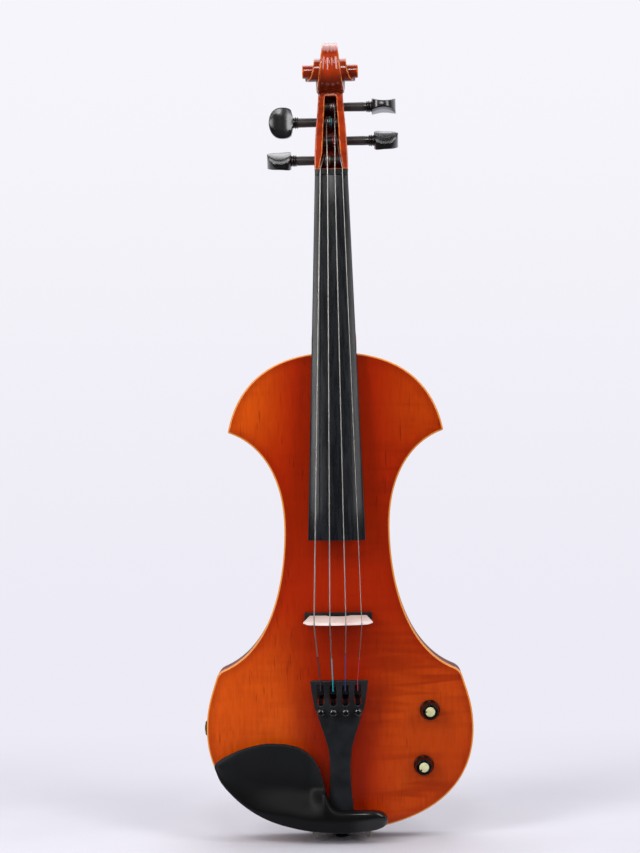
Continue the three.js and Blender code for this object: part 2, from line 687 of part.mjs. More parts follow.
// Neck with its heel, pegbox and scroll, carved from one piece
const alongHead = (share) => HEAD_Z + HEAD_LENGTH * share;

function neckShaft() {
  const low = HEAD + GAP;
  const high = HEAD_Z;
  const stations = NECK_STATION_SHARES.map((share) => lerp(low, high, share));
  return loft([...stations, NUT_Z, high].map((z) => {
    const half = boardHalf(Math.min(z, NUT_Z));
    const front = ahead(underHeight(z));
    const thick = lerp(NECK_THICK_HEEL, NECK_THICK_NUT, (z - low) / (high - low));
    const back = ahead(surfaceHeight(z) - thick);
    const ring = [at(-half, front, z), at(half, front, z)];
    for (let k = 0; k <= NECK_BACK_STEPS; k += 1) {
      const angle = (Math.PI * k) / NECK_BACK_STEPS;
      const lip = lerp(front, back, NECK_SQUARE_SHARE);
      ring.push(at(half * Math.cos(angle), lerp(lip, back, Math.sin(angle) ** NECK_ROUND_POWER), z));
    }
    return ring;
  }));
}

function heel() {
  const front = ahead(underHeight(HEAD));
  const foot = HEAD - TENON_LENGTH;
  return loft(HEEL_SHARES.map(([share, widthShare, lengthShare]) => {
    const y = lerp(front, BACK, share);
    const half = Math.max(HEEL_WIDTH * widthShare, BUTTON_WIDTH) / 2;
    const ring = [];
    for (let k = 0; k <= NECK_BACK_STEPS; k += 1) {
      const angle = (Math.PI * k) / NECK_BACK_STEPS;
      const z = HEAD + HEEL_LENGTH * lengthShare * Math.sin(angle) ** HEEL_ROUND_POWER;
      ring.push(at(half * Math.cos(angle), y, z));
    }
    return [at(-half, y, foot), at(half, y, foot), ...ring];
  }));
}

// Cross-section of the spine at one place of the side view, with its two flutes
function spineRing(frontPoint, backPoint, frontHalf, half) {
  const [fy, fz] = frontPoint;
  const [by, bz] = backPoint;
  const reach = Math.hypot(by - fy, bz - fz);
  const ring = [at(frontHalf, fy, fz), at(-frontHalf, fy, fz)];
  FLUTE_SHARES.forEach((share, k) => {
    const pull = (FLUTE_DEPTH * FLUTE_DEPTH_SHARES[k]) / reach;
    ring.push(at(half * share, lerp(by, fy, pull), lerp(bz, fz, pull)));
  });
  return ring;
}

const eyeZ = alongHead(SCROLL_EYE_SHARE);
const eyeY = SCROLL_EYE_BACK;
const spiralRadius = (degrees) => SCROLL_RADIUS * Math.exp((-SCROLL_SHRINK * (degrees - 90)) / 360);

function bandHalf(degrees) {
  const next = Math.max(SCROLL_ANGLES.findIndex((angle) => angle >= degrees), 1);
  const [a, b] = [SCROLL_ANGLES[next - 1], SCROLL_ANGLES[next]];
  const share = lerp(SCROLL_WIDTH_SHARES[next - 1], SCROLL_WIDTH_SHARES[next], (degrees - a) / (b - a));
  return (share * SCROLL_WIDTH) / 2;
}

function spiralPoint(degrees, radius = spiralRadius(degrees)) {
  return [eyeY + radius * Math.cos(radians(degrees)), eyeZ + radius * Math.sin(radians(degrees))];
}

function pegbox() {
  const rings = PEGBOX_SHARES.map(([along, front, back, width], i) => {
    const z = alongHead(along) + (i === 0 ? PEGBOX_GRAIN_STEP : 0);
    const half = (PEGBOX_WIDTH * width) / 2;
    return spineRing([HEAD_DEPTH * front, z], [HEAD_DEPTH * back, z], half, half);
  });
  const core = (SCROLL_CORE_SHARES[0] * SCROLL_WIDTH) / 2;
  const [lastAlong, lastFront, , lastWidth] = PEGBOX_SHARES.at(-1);
  const lastHalf = (PEGBOX_WIDTH * lastWidth) / 2;
  THROAT_ANGLES.forEach((degrees, i) => {
    const [away, pull, keep] = THROAT_SHARES[i];
    const front = [lerp(eyeY, HEAD_DEPTH * lastFront, away), lerp(eyeZ, alongHead(lastAlong), away)];
    const back = spiralPoint(degrees, spiralRadius(Math.max(degrees, SCROLL_START)) * pull);
    const half = lerp(bandHalf(Math.max(degrees, 0)), lastHalf, keep);
    rings.push(spineRing(front, back, lerp(core, half, Math.sqrt(keep)), half));
  });
  return loft(rings);
}

function trough() {
  return loft(TROUGH_SHARES.map(([along, floor, width]) => {
    const z = alongHead(along) + (along === TROUGH_SHARES[0][0] ? PEGBOX_GRAIN_STEP : 0);
    const half = (PEGBOX_WIDTH * width) / 2;
    const [mouth, bottom] = [-HEAD_DEPTH, HEAD_DEPTH * floor];
    return [at(-half, mouth, z), at(half, mouth, z), at(half, bottom, z), at(-half, bottom, z)];
  }));
}

// One turn of the scroll: a snail-shaped disc whose band grows wider as it winds in
function scrollTurn(index) {
  const start = SCROLL_START + 360 * index;
  const core = (SCROLL_CORE_SHARES[index] * SCROLL_WIDTH) / 2;
  const rings = [];
  for (let k = 0; k <= SCROLL_STEPS; k += 1) {
    const degrees = start + (SCROLL_SPAN * k) / SCROLL_STEPS;
    const half = bandHalf(degrees);
    if (index === 0) {
      rings.push(spineRing([eyeY, eyeZ], spiralPoint(degrees), core, half));
    } else {
      const [y, z] = spiralPoint(degrees);
      rings.push([at(core, eyeY, eyeZ), at(-core, eyeY, eyeZ), at(-half, y, z), at(half, y, z)]);
    }
  }
  return loft(rings);
}

const pegPlace = (i) => ({
  x: 0,
  y: HEAD_DEPTH * PEG_DEPTH_SHARES[i],
  z: alongHead(PEG_ALONG_SHARES[i]),
});

function addNeck() {
  const grown = slab(bodyOutline(-GAP), BACK + OVERRUN, ahead(OVERRUN));
  const root = cut(join(neckShaft(), heel()), grown);
  const [front, back] = [ahead(underHeight(HEAD)), INNER_BACK - GAP];
  const tenon = box(-TENON_WIDTH / 2, TENON_WIDTH / 2, front, back, HEAD - TENON_LENGTH, HEAD + SINK);
  const boardPlane = loft([HEAD - TENON_LENGTH - SINK, HEAD_Z].map((z) => {
    const [above, plane] = [ahead(underHeight(z) + OVERRUN), ahead(underHeight(z))];
    const half = HEEL_WIDTH;
    return [at(-half, above, z), at(half, above, z), at(half, plane, z), at(-half, plane, z)];
  }));
  const holes = PEG_NAMES.map((_, i) => {
    const { y, z } = pegPlace(i);
    return rod('x', -PEGBOX_WIDTH, PEGBOX_WIDTH, PEG_SHAFT / 2 + GAP, PEG_SEGMENTS).translate(0, y, z);
  });
  const turns = SCROLL_CORE_SHARES.map((_, index) => scrollTurn(index));
  const head = join(cut(pegbox(), trough(), ...holes), ...turns);
  const foot = loft([HEAD_Z - SINK, HEAD_Z + SINK].map((z) => {
    const half = NUT_WIDTH / 2;
    const [plane, rear] = [ahead(underHeight(z)), PEGBOX_SHARES[0][2] * HEAD_DEPTH - SINK];
    return [at(-half, plane, z), at(half, plane, z), at(half, rear, z), at(-half, rear, z)];
  }));
  add('neck', join(cut(join(root, tenon), boardPlane), cut(foot, trough()), head), VARNISH);
}

// Pegs with dished thumb pieces
function pegHead() {
  const half = PEG_HEAD_WIDTH / 2;
  const place = (along, wide) => at(along * PEG_HEAD_LENGTH, wide * half, 0);
  const run = THUMB_CURVE_SHARES.flatMap(([a, b, c, d, e, f]) => [place(a, b), place(c, d), place(e, f)]);
  const points = [place(0, THUMB_START_SHARE), ...run];
  const curves = [0, 3].map((k) => new THREE.CubicBezierCurve3(...points.slice(k, k + 4)));
  const upper = curves.flatMap((curve, k) => curve.getPoints(THUMB_STEPS).slice(Math.min(k, 1)));
  const lower = upper.slice(0, -1).reverse().map(({ x, y }) => at(x, -y, 0));
  const outline = new THREE.Shape([...upper, ...lower].map(({ x, y }) => new THREE.Vector2(x, y)));
  const disc = new THREE.ExtrudeGeometry(outline, {
    depth: PEG_HEAD_THICK - 2 * PEG_HEAD_ROUND, bevelThickness: PEG_HEAD_ROUND,
    bevelSize: PEG_HEAD_ROUND, bevelOffset: -PEG_HEAD_ROUND, bevelSegments: 1,
  }).translate(0, 0, PEG_HEAD_ROUND - PEG_HEAD_THICK / 2);
  const sag = (PEG_HEAD_THICK - PEG_HEAD_WAIST) / 2;
  const radius = ((PEG_HEAD_LENGTH / 2) ** 2 + sag * sag) / (2 * sag);
  const dishes = [-1, 1].map((side) => rod('y', -PEG_HEAD_WIDTH, PEG_HEAD_WIDTH, radius, DISH_SEGMENTS)
    .translate(PEG_HEAD_LENGTH / 2, 0, side * (PEG_HEAD_WAIST / 2 + radius)));
  return cut(disc, ...dishes);
}

// Half the width of the pegbox or its trough, read from the last column of its table
function halfAt(table, share) {
  const next = table.findIndex(([along]) => along >= share);
  const [low, high] = [table[next - 1], table[next]];
  return (PEGBOX_WIDTH * lerp(low.at(-1), high.at(-1), (share - low[0]) / (high[0] - low[0]))) / 2;
}

function addPegs() {
  PEG_NAMES.forEach((name, i) => {
    const { y, z } = pegPlace(i);
    const far = -halfAt(PEGBOX_SHARES, PEG_ALONG_SHARES[i]);
    const r = PEG_SHAFT / 2;
    const collarEnd = PEG_COLLAR_X + PEG_COLLAR_LENGTH;
    const collar = PEG_COLLAR_SHARES.map((share, k) => [
      PEG_COLLAR_X + PEG_COLLAR_LENGTH * share, PEG_COLLAR / 2 - (k === 1 ? PEG_COLLAR_GROOVE : 0),
    ]);
    const shaft = turned('x', [
      [far, 0], [far, r * PEG_TAPER_SHARE], [PEG_COLLAR_X, r], ...collar,
      [collarEnd, PEG_NECK / 2], [collarEnd + SINK, PEG_NECK / 2], [collarEnd + SINK, 0],
    ], PEG_SEGMENTS);
    const head = pegHead().rotateX(Math.PI / 2).translate(collarEnd, 0, 0);
    const whole = join(shaft, head.rotateX(radians(PEG_TURNS[i])));
    if (PEG_SIDES[i] < 0) whole.rotateZ(Math.PI);
    add(`peg_${name}`, whole.translate(0, y, z), BLACK_WOOD);
  });
}

// Where each string crosses the nut, the bridge and the head of the tailpiece
function stringPlaces(i) {
  const r = STRING_DIAMETERS[i] / 2;
  const share = i / (STRING_DIAMETERS.length - 1) - 0.5;
  const nutX = STRING_NUT_SPREAD * share;
  const bridgeX = STRING_BRIDGE_SPREAD * share;
  const tailX = STRING_TAIL_SPREAD * share;
  return {
    nutX,
    nutY: ahead(surfaceHeight(NUT_Z) + NUT_RISE - crown(BOARD_RADIUS, nutX) + STRING_OVER_NUT),
    bridgeX,
    bridgeY: ahead(BRIDGE_HEIGHT - crown(BRIDGE_RADIUS, bridgeX) + STRING_OVER_NUT),
    tailX,
    ridgeY: ahead(TAIL_HEAD_HEIGHT - crown(TAIL_RADIUS, tailX) + GAP + r),
    hookY: ahead(TAIL_HEAD_HEIGHT - crown(TAIL_RADIUS, tailX) - HOOK_RISE + GAP + r),
    hookZ: lerp(TAIL_HEAD_Z, TAIL_END_Z, SLOT_TOP_SHARE) - LEVER_THICK,
  };
}

function windingPoints(i) {
  const r = STRING_DIAMETERS[i] / 2;
  const { y, z } = pegPlace(i);
  const { nutY } = stringPlaces(i);
  const radius = PEG_SHAFT / 2 + GAP + r;
  const pitch = STRING_DIAMETERS[i] + WINDING_CLEAR;
  const startX = halfAt(TROUGH_SHARES, PEG_ALONG_SHARES[i]) * WINDING_START_SHARES[i];
  const [dy, dz] = [nutY - y, HEAD_Z - z];
  const leave = Math.atan2(dz, dy) - Math.acos(radius / Math.hypot(dy, dz));
  const steps = WINDING_TURNS * WINDING_STEPS;
  const points = Array.from({ length: steps + 1 }, (_, k) => {
    const angle = leave - (2 * Math.PI * (steps - k)) / WINDING_STEPS;
    const x = startX + PEG_SIDES[i] * pitch * (k / WINDING_STEPS - WINDING_TURNS / 2);
    return at(x, y + radius * Math.cos(angle), z + radius * Math.sin(angle));
  });
  return { points, clear: pitch - STRING_DIAMETERS[i] };
}

function addStrings() {
  PEG_NAMES.forEach((name, i) => {
    const place = stringPlaces(i);
    const { points, clear } = windingPoints(i);
    const route = [
      ...points,
      at(place.nutX, place.nutY, HEAD_Z),
      at(place.nutX, place.nutY, NUT_Z),
      at(place.bridgeX, place.bridgeY, BRIDGE_Z + BRIDGE_EDGE / 2),
      at(place.bridgeX, place.bridgeY, BRIDGE_Z - BRIDGE_EDGE / 2),
      at(place.tailX, place.ridgeY, TAIL_HEAD_Z),
      at(place.tailX, place.hookY, place.hookZ),
    ];
    add(`string_${name}`, tube(route, STRING_DIAMETERS[i] / 2, STRING_SIDES), STRING_METAL);
    console.log(`string ${name}: least gap between its turns on the peg ${clear.toFixed(2)} mm`);
  });
}

// Bridge: a flared plate on two feet, thinned to its edge, over the pickup
function addBridge() {
  const [low, high] = [PICKUP_HEIGHT, BRIDGE_HEIGHT];
  const halfTop = BRIDGE_TOP_WIDTH / 2;
  const halfFoot = BRIDGE_FOOT_WIDTH / 2;
  const edge = high - crown(BRIDGE_RADIUS, halfTop - BRIDGE_SHOULDER);
  const side = [
    [halfFoot - BRIDGE_FOOT_LENGTH, low], [halfFoot, low],
    [halfTop, edge - BRIDGE_SHOULDER], [halfTop - BRIDGE_SHOULDER, edge],
  ];
  for (let k = 1; k < BOARD_STEPS / 2; k += 1) {
    const x = (halfTop - BRIDGE_SHOULDER) * (1 - (2 * k) / BOARD_STEPS);
    side.push([x, high - crown(BRIDGE_RADIUS, x)]);
  }
  const archHalf = halfFoot - BRIDGE_FOOT_LENGTH;
  const arch = BRIDGE_ARCH_SHARES.map((s) => [archHalf * s, low + BRIDGE_ARCH * Math.sqrt(1 - s * s)]);
  const outline = [...side, [0, high], ...side.slice().reverse().map(([x, h]) => [-x, h]), ...arch]
    .map(([x, h]) => new THREE.Vector2(x, h));
  const front = new THREE.Shape(outline);
  const blank = new THREE.ExtrudeGeometry(front, { depth: BRIDGE_BASE, bevelEnabled: false })
    .applyMatrix4(new THREE.Matrix4().makeBasis(at(1, 0, 0), at(0, -1, 0), at(0, 0, -1)))
    .translate(0, FRONT, BRIDGE_Z + BRIDGE_BASE - BRIDGE_EDGE / 2);
  const topZ = BRIDGE_Z + BRIDGE_EDGE / 2;
  const baseZ = topZ + BRIDGE_BASE - BRIDGE_EDGE;
  const wedge = loft([-BRIDGE_TOP_WIDTH, BRIDGE_TOP_WIDTH].map((x) => [
    at(x, ahead(low), baseZ), at(x, ahead(high), topZ), at(x, ahead(high + OVERRUN), topZ),
    at(x, ahead(high + OVERRUN), baseZ + OVERRUN), at(x, ahead(low), baseZ + OVERRUN),
  ]));
  const grooves = STRING_DIAMETERS.map((diameter, i) => {
    const { bridgeX, bridgeY } = stringPlaces(i);
    const groove = rod('z', BRIDGE_Z - OVERRUN, BRIDGE_Z + OVERRUN, diameter / 2 + GAP, STRING_SIDES);
    return groove.translate(bridgeX, bridgeY, 0);
  });
  add('bridge', cut(blank, wedge, ...grooves), MAPLE);
  const bar = box(
    -PICKUP_LENGTH / 2, PICKUP_LENGTH / 2, ahead(PICKUP_HEIGHT), FRONT,
    PICKUP_Z - PICKUP_WIDTH / 2, PICKUP_Z + PICKUP_WIDTH / 2,
  );
  const socket = rod('y', FRONT + SINK, ahead(PICKUP_HEIGHT / 2), LEAD_HOLE / 2).translate(0, 0, PICKUP_Z);
  add('pickup_bar', cut(bar, socket), BLACK_PLASTIC);
}

// Tailpiece
const tailZ = (share) => lerp(TAIL_HEAD_Z, TAIL_END_Z, share);
const tailHeight = (share) => lerp(TAIL_HEAD_HEIGHT, TAIL_END_HEIGHT, share);

function tailpieceBlank() {
  return loft(TAIL_SHARES.map(([along, width, thick]) => {
    const z = tailZ(along);
    const half = (TAIL_HEAD_WIDTH * width) / 2;
    const height = tailHeight(along);
    const under = height - TAIL_THICK * thick;
    const underHalf = half * TAIL_UNDER_SHARE;
    const ring = [at(underHalf, ahead(under), z), at(-underHalf, ahead(under), z)];
    for (let k = 0; k <= TAIL_CROSS_STEPS; k += 1) {
      const x = half * ((2 * k) / TAIL_CROSS_STEPS - 1);
      ring.push(at(x, ahead(height - crown(TAIL_RADIUS, x) * (1 + along)), z));
    }
    return ring;
  }));
}

const axlePlace = () => ({ y: ahead(tailHeight(AXLE_SHARE) - AXLE_DEPTH), z: tailZ(AXLE_SHARE) });

const gutY = () => ahead(TAIL_END_HEIGHT - TAIL_THICK / 2);

// Slot, pocket, screw hole and string groove of each fine tuner, and what crosses them all
function addTailpiece() {
  const above = ahead(OVERRUN * 2);
  const pocketTop = ahead(tailHeight(TUNER_SHARE) - TAIL_THICK * TAIL_POCKET_SHARE);
  const screwZ = tailZ(TUNER_SHARE);
  const cuts = STRING_DIAMETERS.flatMap((diameter, i) => {
    const { tailX, ridgeY, hookY, hookZ } = stringPlaces(i);
    const [x0, x1] = [tailX - SLOT_WIDTH / 2, tailX + SLOT_WIDTH / 2];
    return [
      box(x0, x1, above, FRONT, tailZ(SLOT_END_SHARE), tailZ(SLOT_TOP_SHARE)),
      box(x0, x1, pocketTop, FRONT, screwZ - TUNER_STEM, tailZ(SLOT_END_SHARE) + SINK),
      rod('y', above, FRONT, TUNER_STEM / 2 + GAP, CLAMP_SEGMENTS).translate(tailX, 0, screwZ),
      tube([at(tailX, ridgeY, TAIL_HEAD_Z), at(tailX, hookY, hookZ)], diameter / 2 + GAP, STRING_SIDES),
    ];
  });
  const { y, z } = axlePlace();
  const bore = rod('x', -TAIL_HEAD_WIDTH, TAIL_HEAD_WIDTH, AXLE_DIAMETER / 2 + GAP, CLAMP_SEGMENTS);
  cuts.push(bore.translate(0, y, z));
  [-1, 1].forEach((side) => cuts.push(
    rod('z', TAIL_END_Z - OVERRUN, tailZ(GUT_HOLE_SHARE), GUT_DIAMETER / 2 + GAP, CLAMP_SEGMENTS)
      .translate((side * GUT_SPREAD) / 2, gutY(), 0),
  ));
  add('tailpiece', cut(tailpieceBlank(), ...cuts), BLACK_PLASTIC);
  const half = (TAIL_HEAD_WIDTH * AXLE_SPAN_SHARE) / 2;
  add('tuner_axle', rod('x', -half, half, AXLE_DIAMETER / 2, CLAMP_SEGMENTS).translate(0, y, z), NICKEL);
}

// Each screw presses down the long arm of a bent lever, whose short arm holds the string
function addTuners() {
  const { y: axleY, z: axleZ } = axlePlace();
  const screwZ = tailZ(TUNER_SHARE);
  const t = LEVER_THICK;
  PEG_NAMES.forEach((name, i) => {
    const { tailX, hookY, hookZ } = stringPlaces(i);
    const inner = Math.max(Math.abs(tailX) - TUNER_HEAD / 2, 0);
    const base = ahead(tailHeight(TUNER_SHARE) - crown(TAIL_RADIUS, inner)) - GAP;
    const profile = TUNER_HEAD_SHARES.map(([up, wide]) => [
      base - TUNER_HEAD_HEIGHT * up, (TUNER_HEAD / 2) * wide,
    ]);
    const stemEnd = base + TUNER_LENGTH - TUNER_HEAD_HEIGHT;
    const stem = rod('y', base - SINK, stemEnd, TUNER_STEM / 2, CLAMP_SEGMENTS);
    const screw = join(turned('y', [[base, 0], ...profile], PEG_SEGMENTS), stem);
    add(`tuner_screw_${name}`, screw.translate(tailX, 0, screwZ), GLOSS_BLACK);
    const hookTop = hookY + STRING_DIAMETERS[i] / 2 + GAP;
    const armTop = stemEnd + GAP;
    const armEnd = screwZ - TUNER_STEM / 2;
    const bar = across([
      [axleZ + t, axleY], [hookZ + t / 2, hookTop + t], [hookZ + t / 2, hookTop], [hookZ - t, hookTop],
      [axleZ - t, axleY - t], [axleZ - t * 2, armTop], [armEnd, armTop], [armEnd, armTop + t],
      [axleZ, armTop + t], [axleZ + t, axleY + t],
    ], LEVER_WIDTH).translate(tailX - LEVER_WIDTH / 2, 0, 0);
    const bore = rod('x', tailX - LEVER_WIDTH, tailX + LEVER_WIDTH, AXLE_DIAMETER / 2 + GAP, CLAMP_SEGMENTS);
    add(`tuner_lever_${name}`, cut(bar, bore.translate(0, axleY, axleZ)), NICKEL);
  });
}

// Tailgut, saddle and end button
function addTailEnd() {
  const gutZ = (BUTTON_HEAD + FOOT) / 2;
  const r = GUT_DIAMETER / 2;
  const start = GUT_SPREAD / 2;
  const loop = BUTTON_NECK / 2 + GAP + r;
  const over = ahead(SADDLE_RISE + GAP + r);
  const [far, near] = GUT_SADDLE_SHARES.map((share) => FOOT + SADDLE_LENGTH * share);
  const [x0, x1, x2, x3] = GUT_SPREAD_SHARES.map((share) => lerp(start, loop, share));
  const side = (sign) => [
    at(sign * start, gutY(), tailZ(GUT_END_SHARE)), at(sign * start, gutY(), TAIL_END_Z),
    at(sign * x0, over, far), at(sign * x1, over, near), at(sign * x2, over + r, FOOT - r),
    at(sign * x3, FRONT - r, gutZ), at(sign * loop, FRONT / 2, gutZ),
  ];
  const round = Array.from({ length: GUT_STEPS + 1 }, (_, k) => {
    const angle = Math.PI * (1 - k / GUT_STEPS);
    return at(loop * Math.cos(angle), loop * Math.sin(angle), gutZ);
  });
  const route = [...side(-1), ...round, ...side(1).reverse()];
  add('tailgut', tube(route, r, GUT_SIDES), NYLON);
  const [wide, seat] = [SADDLE_WIDTH / 2, INNER_FRONT - GLUE_GAP];
  const block = box(-wide, wide, ahead(SADDLE_RISE), seat, FOOT - SINK, FOOT + SADDLE_LENGTH);
  const grooved = cut(block, tube(route, r + GAP, GUT_SIDES));
  add('saddle', common(grooved, slab(bodyOutline(0), BACK, ahead(OVERRUN))), BLACK_WOOD);
  const shaft = BUTTON_SHAFT / 2;
  const high = FOOT + BUTTON_SHAFT_LENGTH;
  const head = BUTTON_HEAD_SHARES.map(([along, size]) => [BUTTON_HEAD * along, (BUTTON_DIAMETER / 2) * size]);
  add('end_button', turned('z', [
    [0, 0], [0, BUTTON_FACE / 2], ...head, [BUTTON_HEAD, BUTTON_NECK / 2], [FOOT - GAP, BUTTON_NECK / 2],
    [FOOT - GAP, shaft], [high, shaft * BUTTON_TAPER_SHARE], [high, 0],
  ], BUTTON_SEGMENTS), BLACK_WOOD);
}

// Chinrest: a dished plate on the bass side whose arm bridges the tailpiece
function restRing([along, low, high, arm]) {
  const x = REST_LEFT_X + REST_LENGTH * along;
  const z0 = REST_FOOT_Z + REST_WIDTH * low;
  const z1 = REST_FOOT_Z + REST_WIDTH * high;
  const { smoothstep } = THREE.MathUtils;
  const grown = smoothstep(along, REST_APRON_SHARES[0], REST_APRON_SHARES[1]);
  const ridge = lerp(REST_DISH_HEIGHT + REST_RIM, REST_ARM_HEIGHT, arm);
  const edge = ridge - lerp(REST_RIM / 2, REST_APRON_DROP, grown);
  const rise = smoothstep(along, REST_RISE_SHARES[0], REST_RISE_SHARES[1]);
  const flat = lerp(REST_DISH_HEIGHT, ridge - REST_RIM, rise);
  const crest = Math.min(lerp(REST_RIM, REST_APRON, grown), (z1 - z0) * REST_CREST_SHARE);
  const beyond = z1 - z0 - crest;
  const valley = Math.min(REST_VALLEY, beyond * REST_ARM_ROUND_SHARE);
  const ring = [
    [0, edge - REST_EDGE], [0, edge], [crest, ridge], [crest + valley / 2, lerp(flat, ridge, 0.5)],
    [crest + valley, flat], [crest + lerp(valley, beyond, REST_FLAT_SHARE), flat],
    [crest + beyond, flat - REST_RIM / 2],
    [crest + beyond, flat - REST_EDGE], [crest + valley, flat - REST_THICK], [crest / 2, flat - REST_THICK],
  ];
  return ring.map(([deep, height]) => at(x, ahead(height), z0 + deep));
}

// The clamp's rods stand just below the edge of the body
function rodZ(side) {
  const x = (side * FOOT_SPACING) / 2;
  const near = bodyOutline(0).filter((p) => Math.abs(p.x - x) < BARREL_DIAMETER * 2);
  return Math.min(...near.map((p) => p.y)) - GAP - BARREL_DIAMETER / 2;
}

// Strap of the clamp from its round end at the rod into the rest's foot
function hookStrap(side, gap) {
  const x = (side * FOOT_SPACING) / 2;
  const half = HOOK_WIDTH / 2 + gap;
  const [top, under] = [ahead(HOOK_HEIGHT + gap), ahead(HOOK_HEIGHT - HOOK_PLATE - gap)];
  const end = REST_FOOT_Z + SINK + FOOT_LENGTH * HOOK_REACH_SHARE + gap;
  return join(
    rod('y', top, under, half, CLAMP_SEGMENTS).translate(x, 0, rodZ(side)),
    box(x - half, x + half, top, under, rodZ(side), end),
  );
}

function addChinrest() {
  let rest = loft(REST_SHARES.map(restRing));
  [['left', -1], ['right', 1]].forEach(([name, side]) => {
    const x = (side * FOOT_SPACING) / 2;
    const z = rodZ(side);
    const z0 = REST_FOOT_Z + SINK;
    const padX = (side * PAD_SPACING) / 2;
    const pad = (bottom, top) => box(
      padX - FOOT_WIDTH / 2, padX + FOOT_WIDTH / 2, ahead(top), ahead(bottom), z0, z0 + FOOT_LENGTH,
    );
    rest = cut(join(rest, pad(CORK, FOOT_HEIGHT)), hookStrap(side, GAP));
    add(`chinrest_cork_${name}`, pad(0, CORK), CORK_FINISH);
    const half = BARREL_LENGTH / 2;
    const r = ROD_DIAMETER / 2;
    const [rodTop, rodEnd] = [ahead(HOOK_HEIGHT - HOOK_PLATE / 2), BARREL_BACK - half + ROD_TRAVEL];
    const hook = join(hookStrap(side, 0), rod('y', rodTop, rodEnd, r, CLAMP_SEGMENTS).translate(x, 0, z));
    add(`clamp_hook_${name}`, hook, NICKEL);
    const bore = r + GAP;
    const [end, body] = [(BARREL_DIAMETER / 2) * BARREL_END_SHARE, half * BARREL_BODY_SHARE];
    const profile = [
      [-half, bore], [-half, end], [-body, BARREL_DIAMETER / 2], [body, BARREL_DIAMETER / 2],
      [half, end], [half, bore], [-half, bore],
    ].map(([along, radius]) => [BARREL_BACK + along, radius]);
    add(`clamp_barrel_${name}`, turned('y', profile, CLAMP_SEGMENTS).translate(x, 0, z), NICKEL);
  });
  add('chinrest', rest, BLACK_PLASTIC);
}

function addBracket() {
  const half = FOOT_SPACING / 2;
  const wide = half + BRACKET_END / 2;
  const z = rodZ(1);
  const r = ROD_DIAMETER / 2;
  const face = BACK + CORK;
  const top = FOOT + BRACKET_LENGTH;
  const bar = box(-wide, wide, face, face + HOOK_PLATE, z - r, top);
  const [rodTop, rodEnd] = [BARREL_BACK + BARREL_LENGTH / 2 - ROD_TRAVEL, face + HOOK_PLATE / 2];
  const screw = () => rod('y', rodTop, rodEnd, r, CLAMP_SEGMENTS);
  const rods = [-1, 1].map((side) => screw().translate(side * half, 0, z));
  add('clamp_bracket', join(bar, ...rods), NICKEL);
  add('bracket_cork', box(-wide, wide, BACK, face, FOOT + SINK, top), CORK_FINISH);
}

// Controls: knob, cap, shaft, nut and potentiometer, one set for volume and one for tone
function addControls() {
  KNOB_NAMES.forEach((name, i) => {
    const place = (shape) => shape.translate(KNOB_X[i], 0, KNOB_Z[i]);
    const r = KNOB_DIAMETER / 2;
    const shaftR = SHAFT_DIAMETER / 2;
    const bushR = BUSHING_DIAMETER / 2;
    const capR = CAP_DIAMETER / 2;
    const [top, base] = [ahead(KNOB_HEIGHT), ahead(KNOB_CLEAR)];
    const cavityR = POT_NUT / Math.sqrt(3) + GAP * 2;
    const cavityTop = ahead(BUSHING_HEIGHT + KNOB_CLEAR);
    const [capSeat, boreTop] = [top + CAP_THICK, top + CAP_THICK * 2];
    const skirt = KNOB_SKIRT_SHARES.map(([down, wide]) => [lerp(top, base, down), r * wide]);
    const knob = turned('y', [
      [capSeat, 0], [capSeat, capR + GAP], [top, capR + GAP], [top, KNOB_TOP / 2 - NOTCH],
      [top + NOTCH, KNOB_TOP / 2], ...skirt, [base, r], [base, cavityR], [cavityTop, cavityR],
      [cavityTop, shaftR + GAP], [boreTop, shaftR + GAP], [boreTop, 0],
    ]);
    add(`${name}_knob`, place(knob), GLOSS_BLACK);
    const disc = rod('y', top + GAP / 2, capSeat - GAP / 2, capR);
    const notch = box(-NOTCH / 2, NOTCH / 2, top - SINK, capSeat + SINK, capR - NOTCH, CAP_DIAMETER);
    add(`${name}_cap`, place(cut(disc, notch).rotateY(radians(-KNOB_TURNS[i]))), CREAM);
    const shaftFoot = INNER_FRONT + POT_HEIGHT / 2;
    add(`${name}_shaft`, place(rod('y', boreTop + GAP, shaftFoot, shaftR)), NICKEL);
    const bore = rod('y', ahead(OVERRUN), shaftFoot + GAP, shaftR + GAP);
    const housing = join(
      rod('y', INNER_FRONT, INNER_FRONT + POT_HEIGHT, POT_DIAMETER / 2),
      rod('y', ahead(BUSHING_HEIGHT), INNER_FRONT + SINK, bushR),
    );
    add(`${name}_pot`, place(cut(housing, bore)), NICKEL);
    const nut = rod('y', ahead(POT_NUT_THICK), FRONT, POT_NUT / Math.sqrt(3), HEX);
    add(`${name}_nut`, place(cut(nut, rod('y', ahead(OVERRUN), BACK, bushR + GAP / 2))), NICKEL);
  });
}

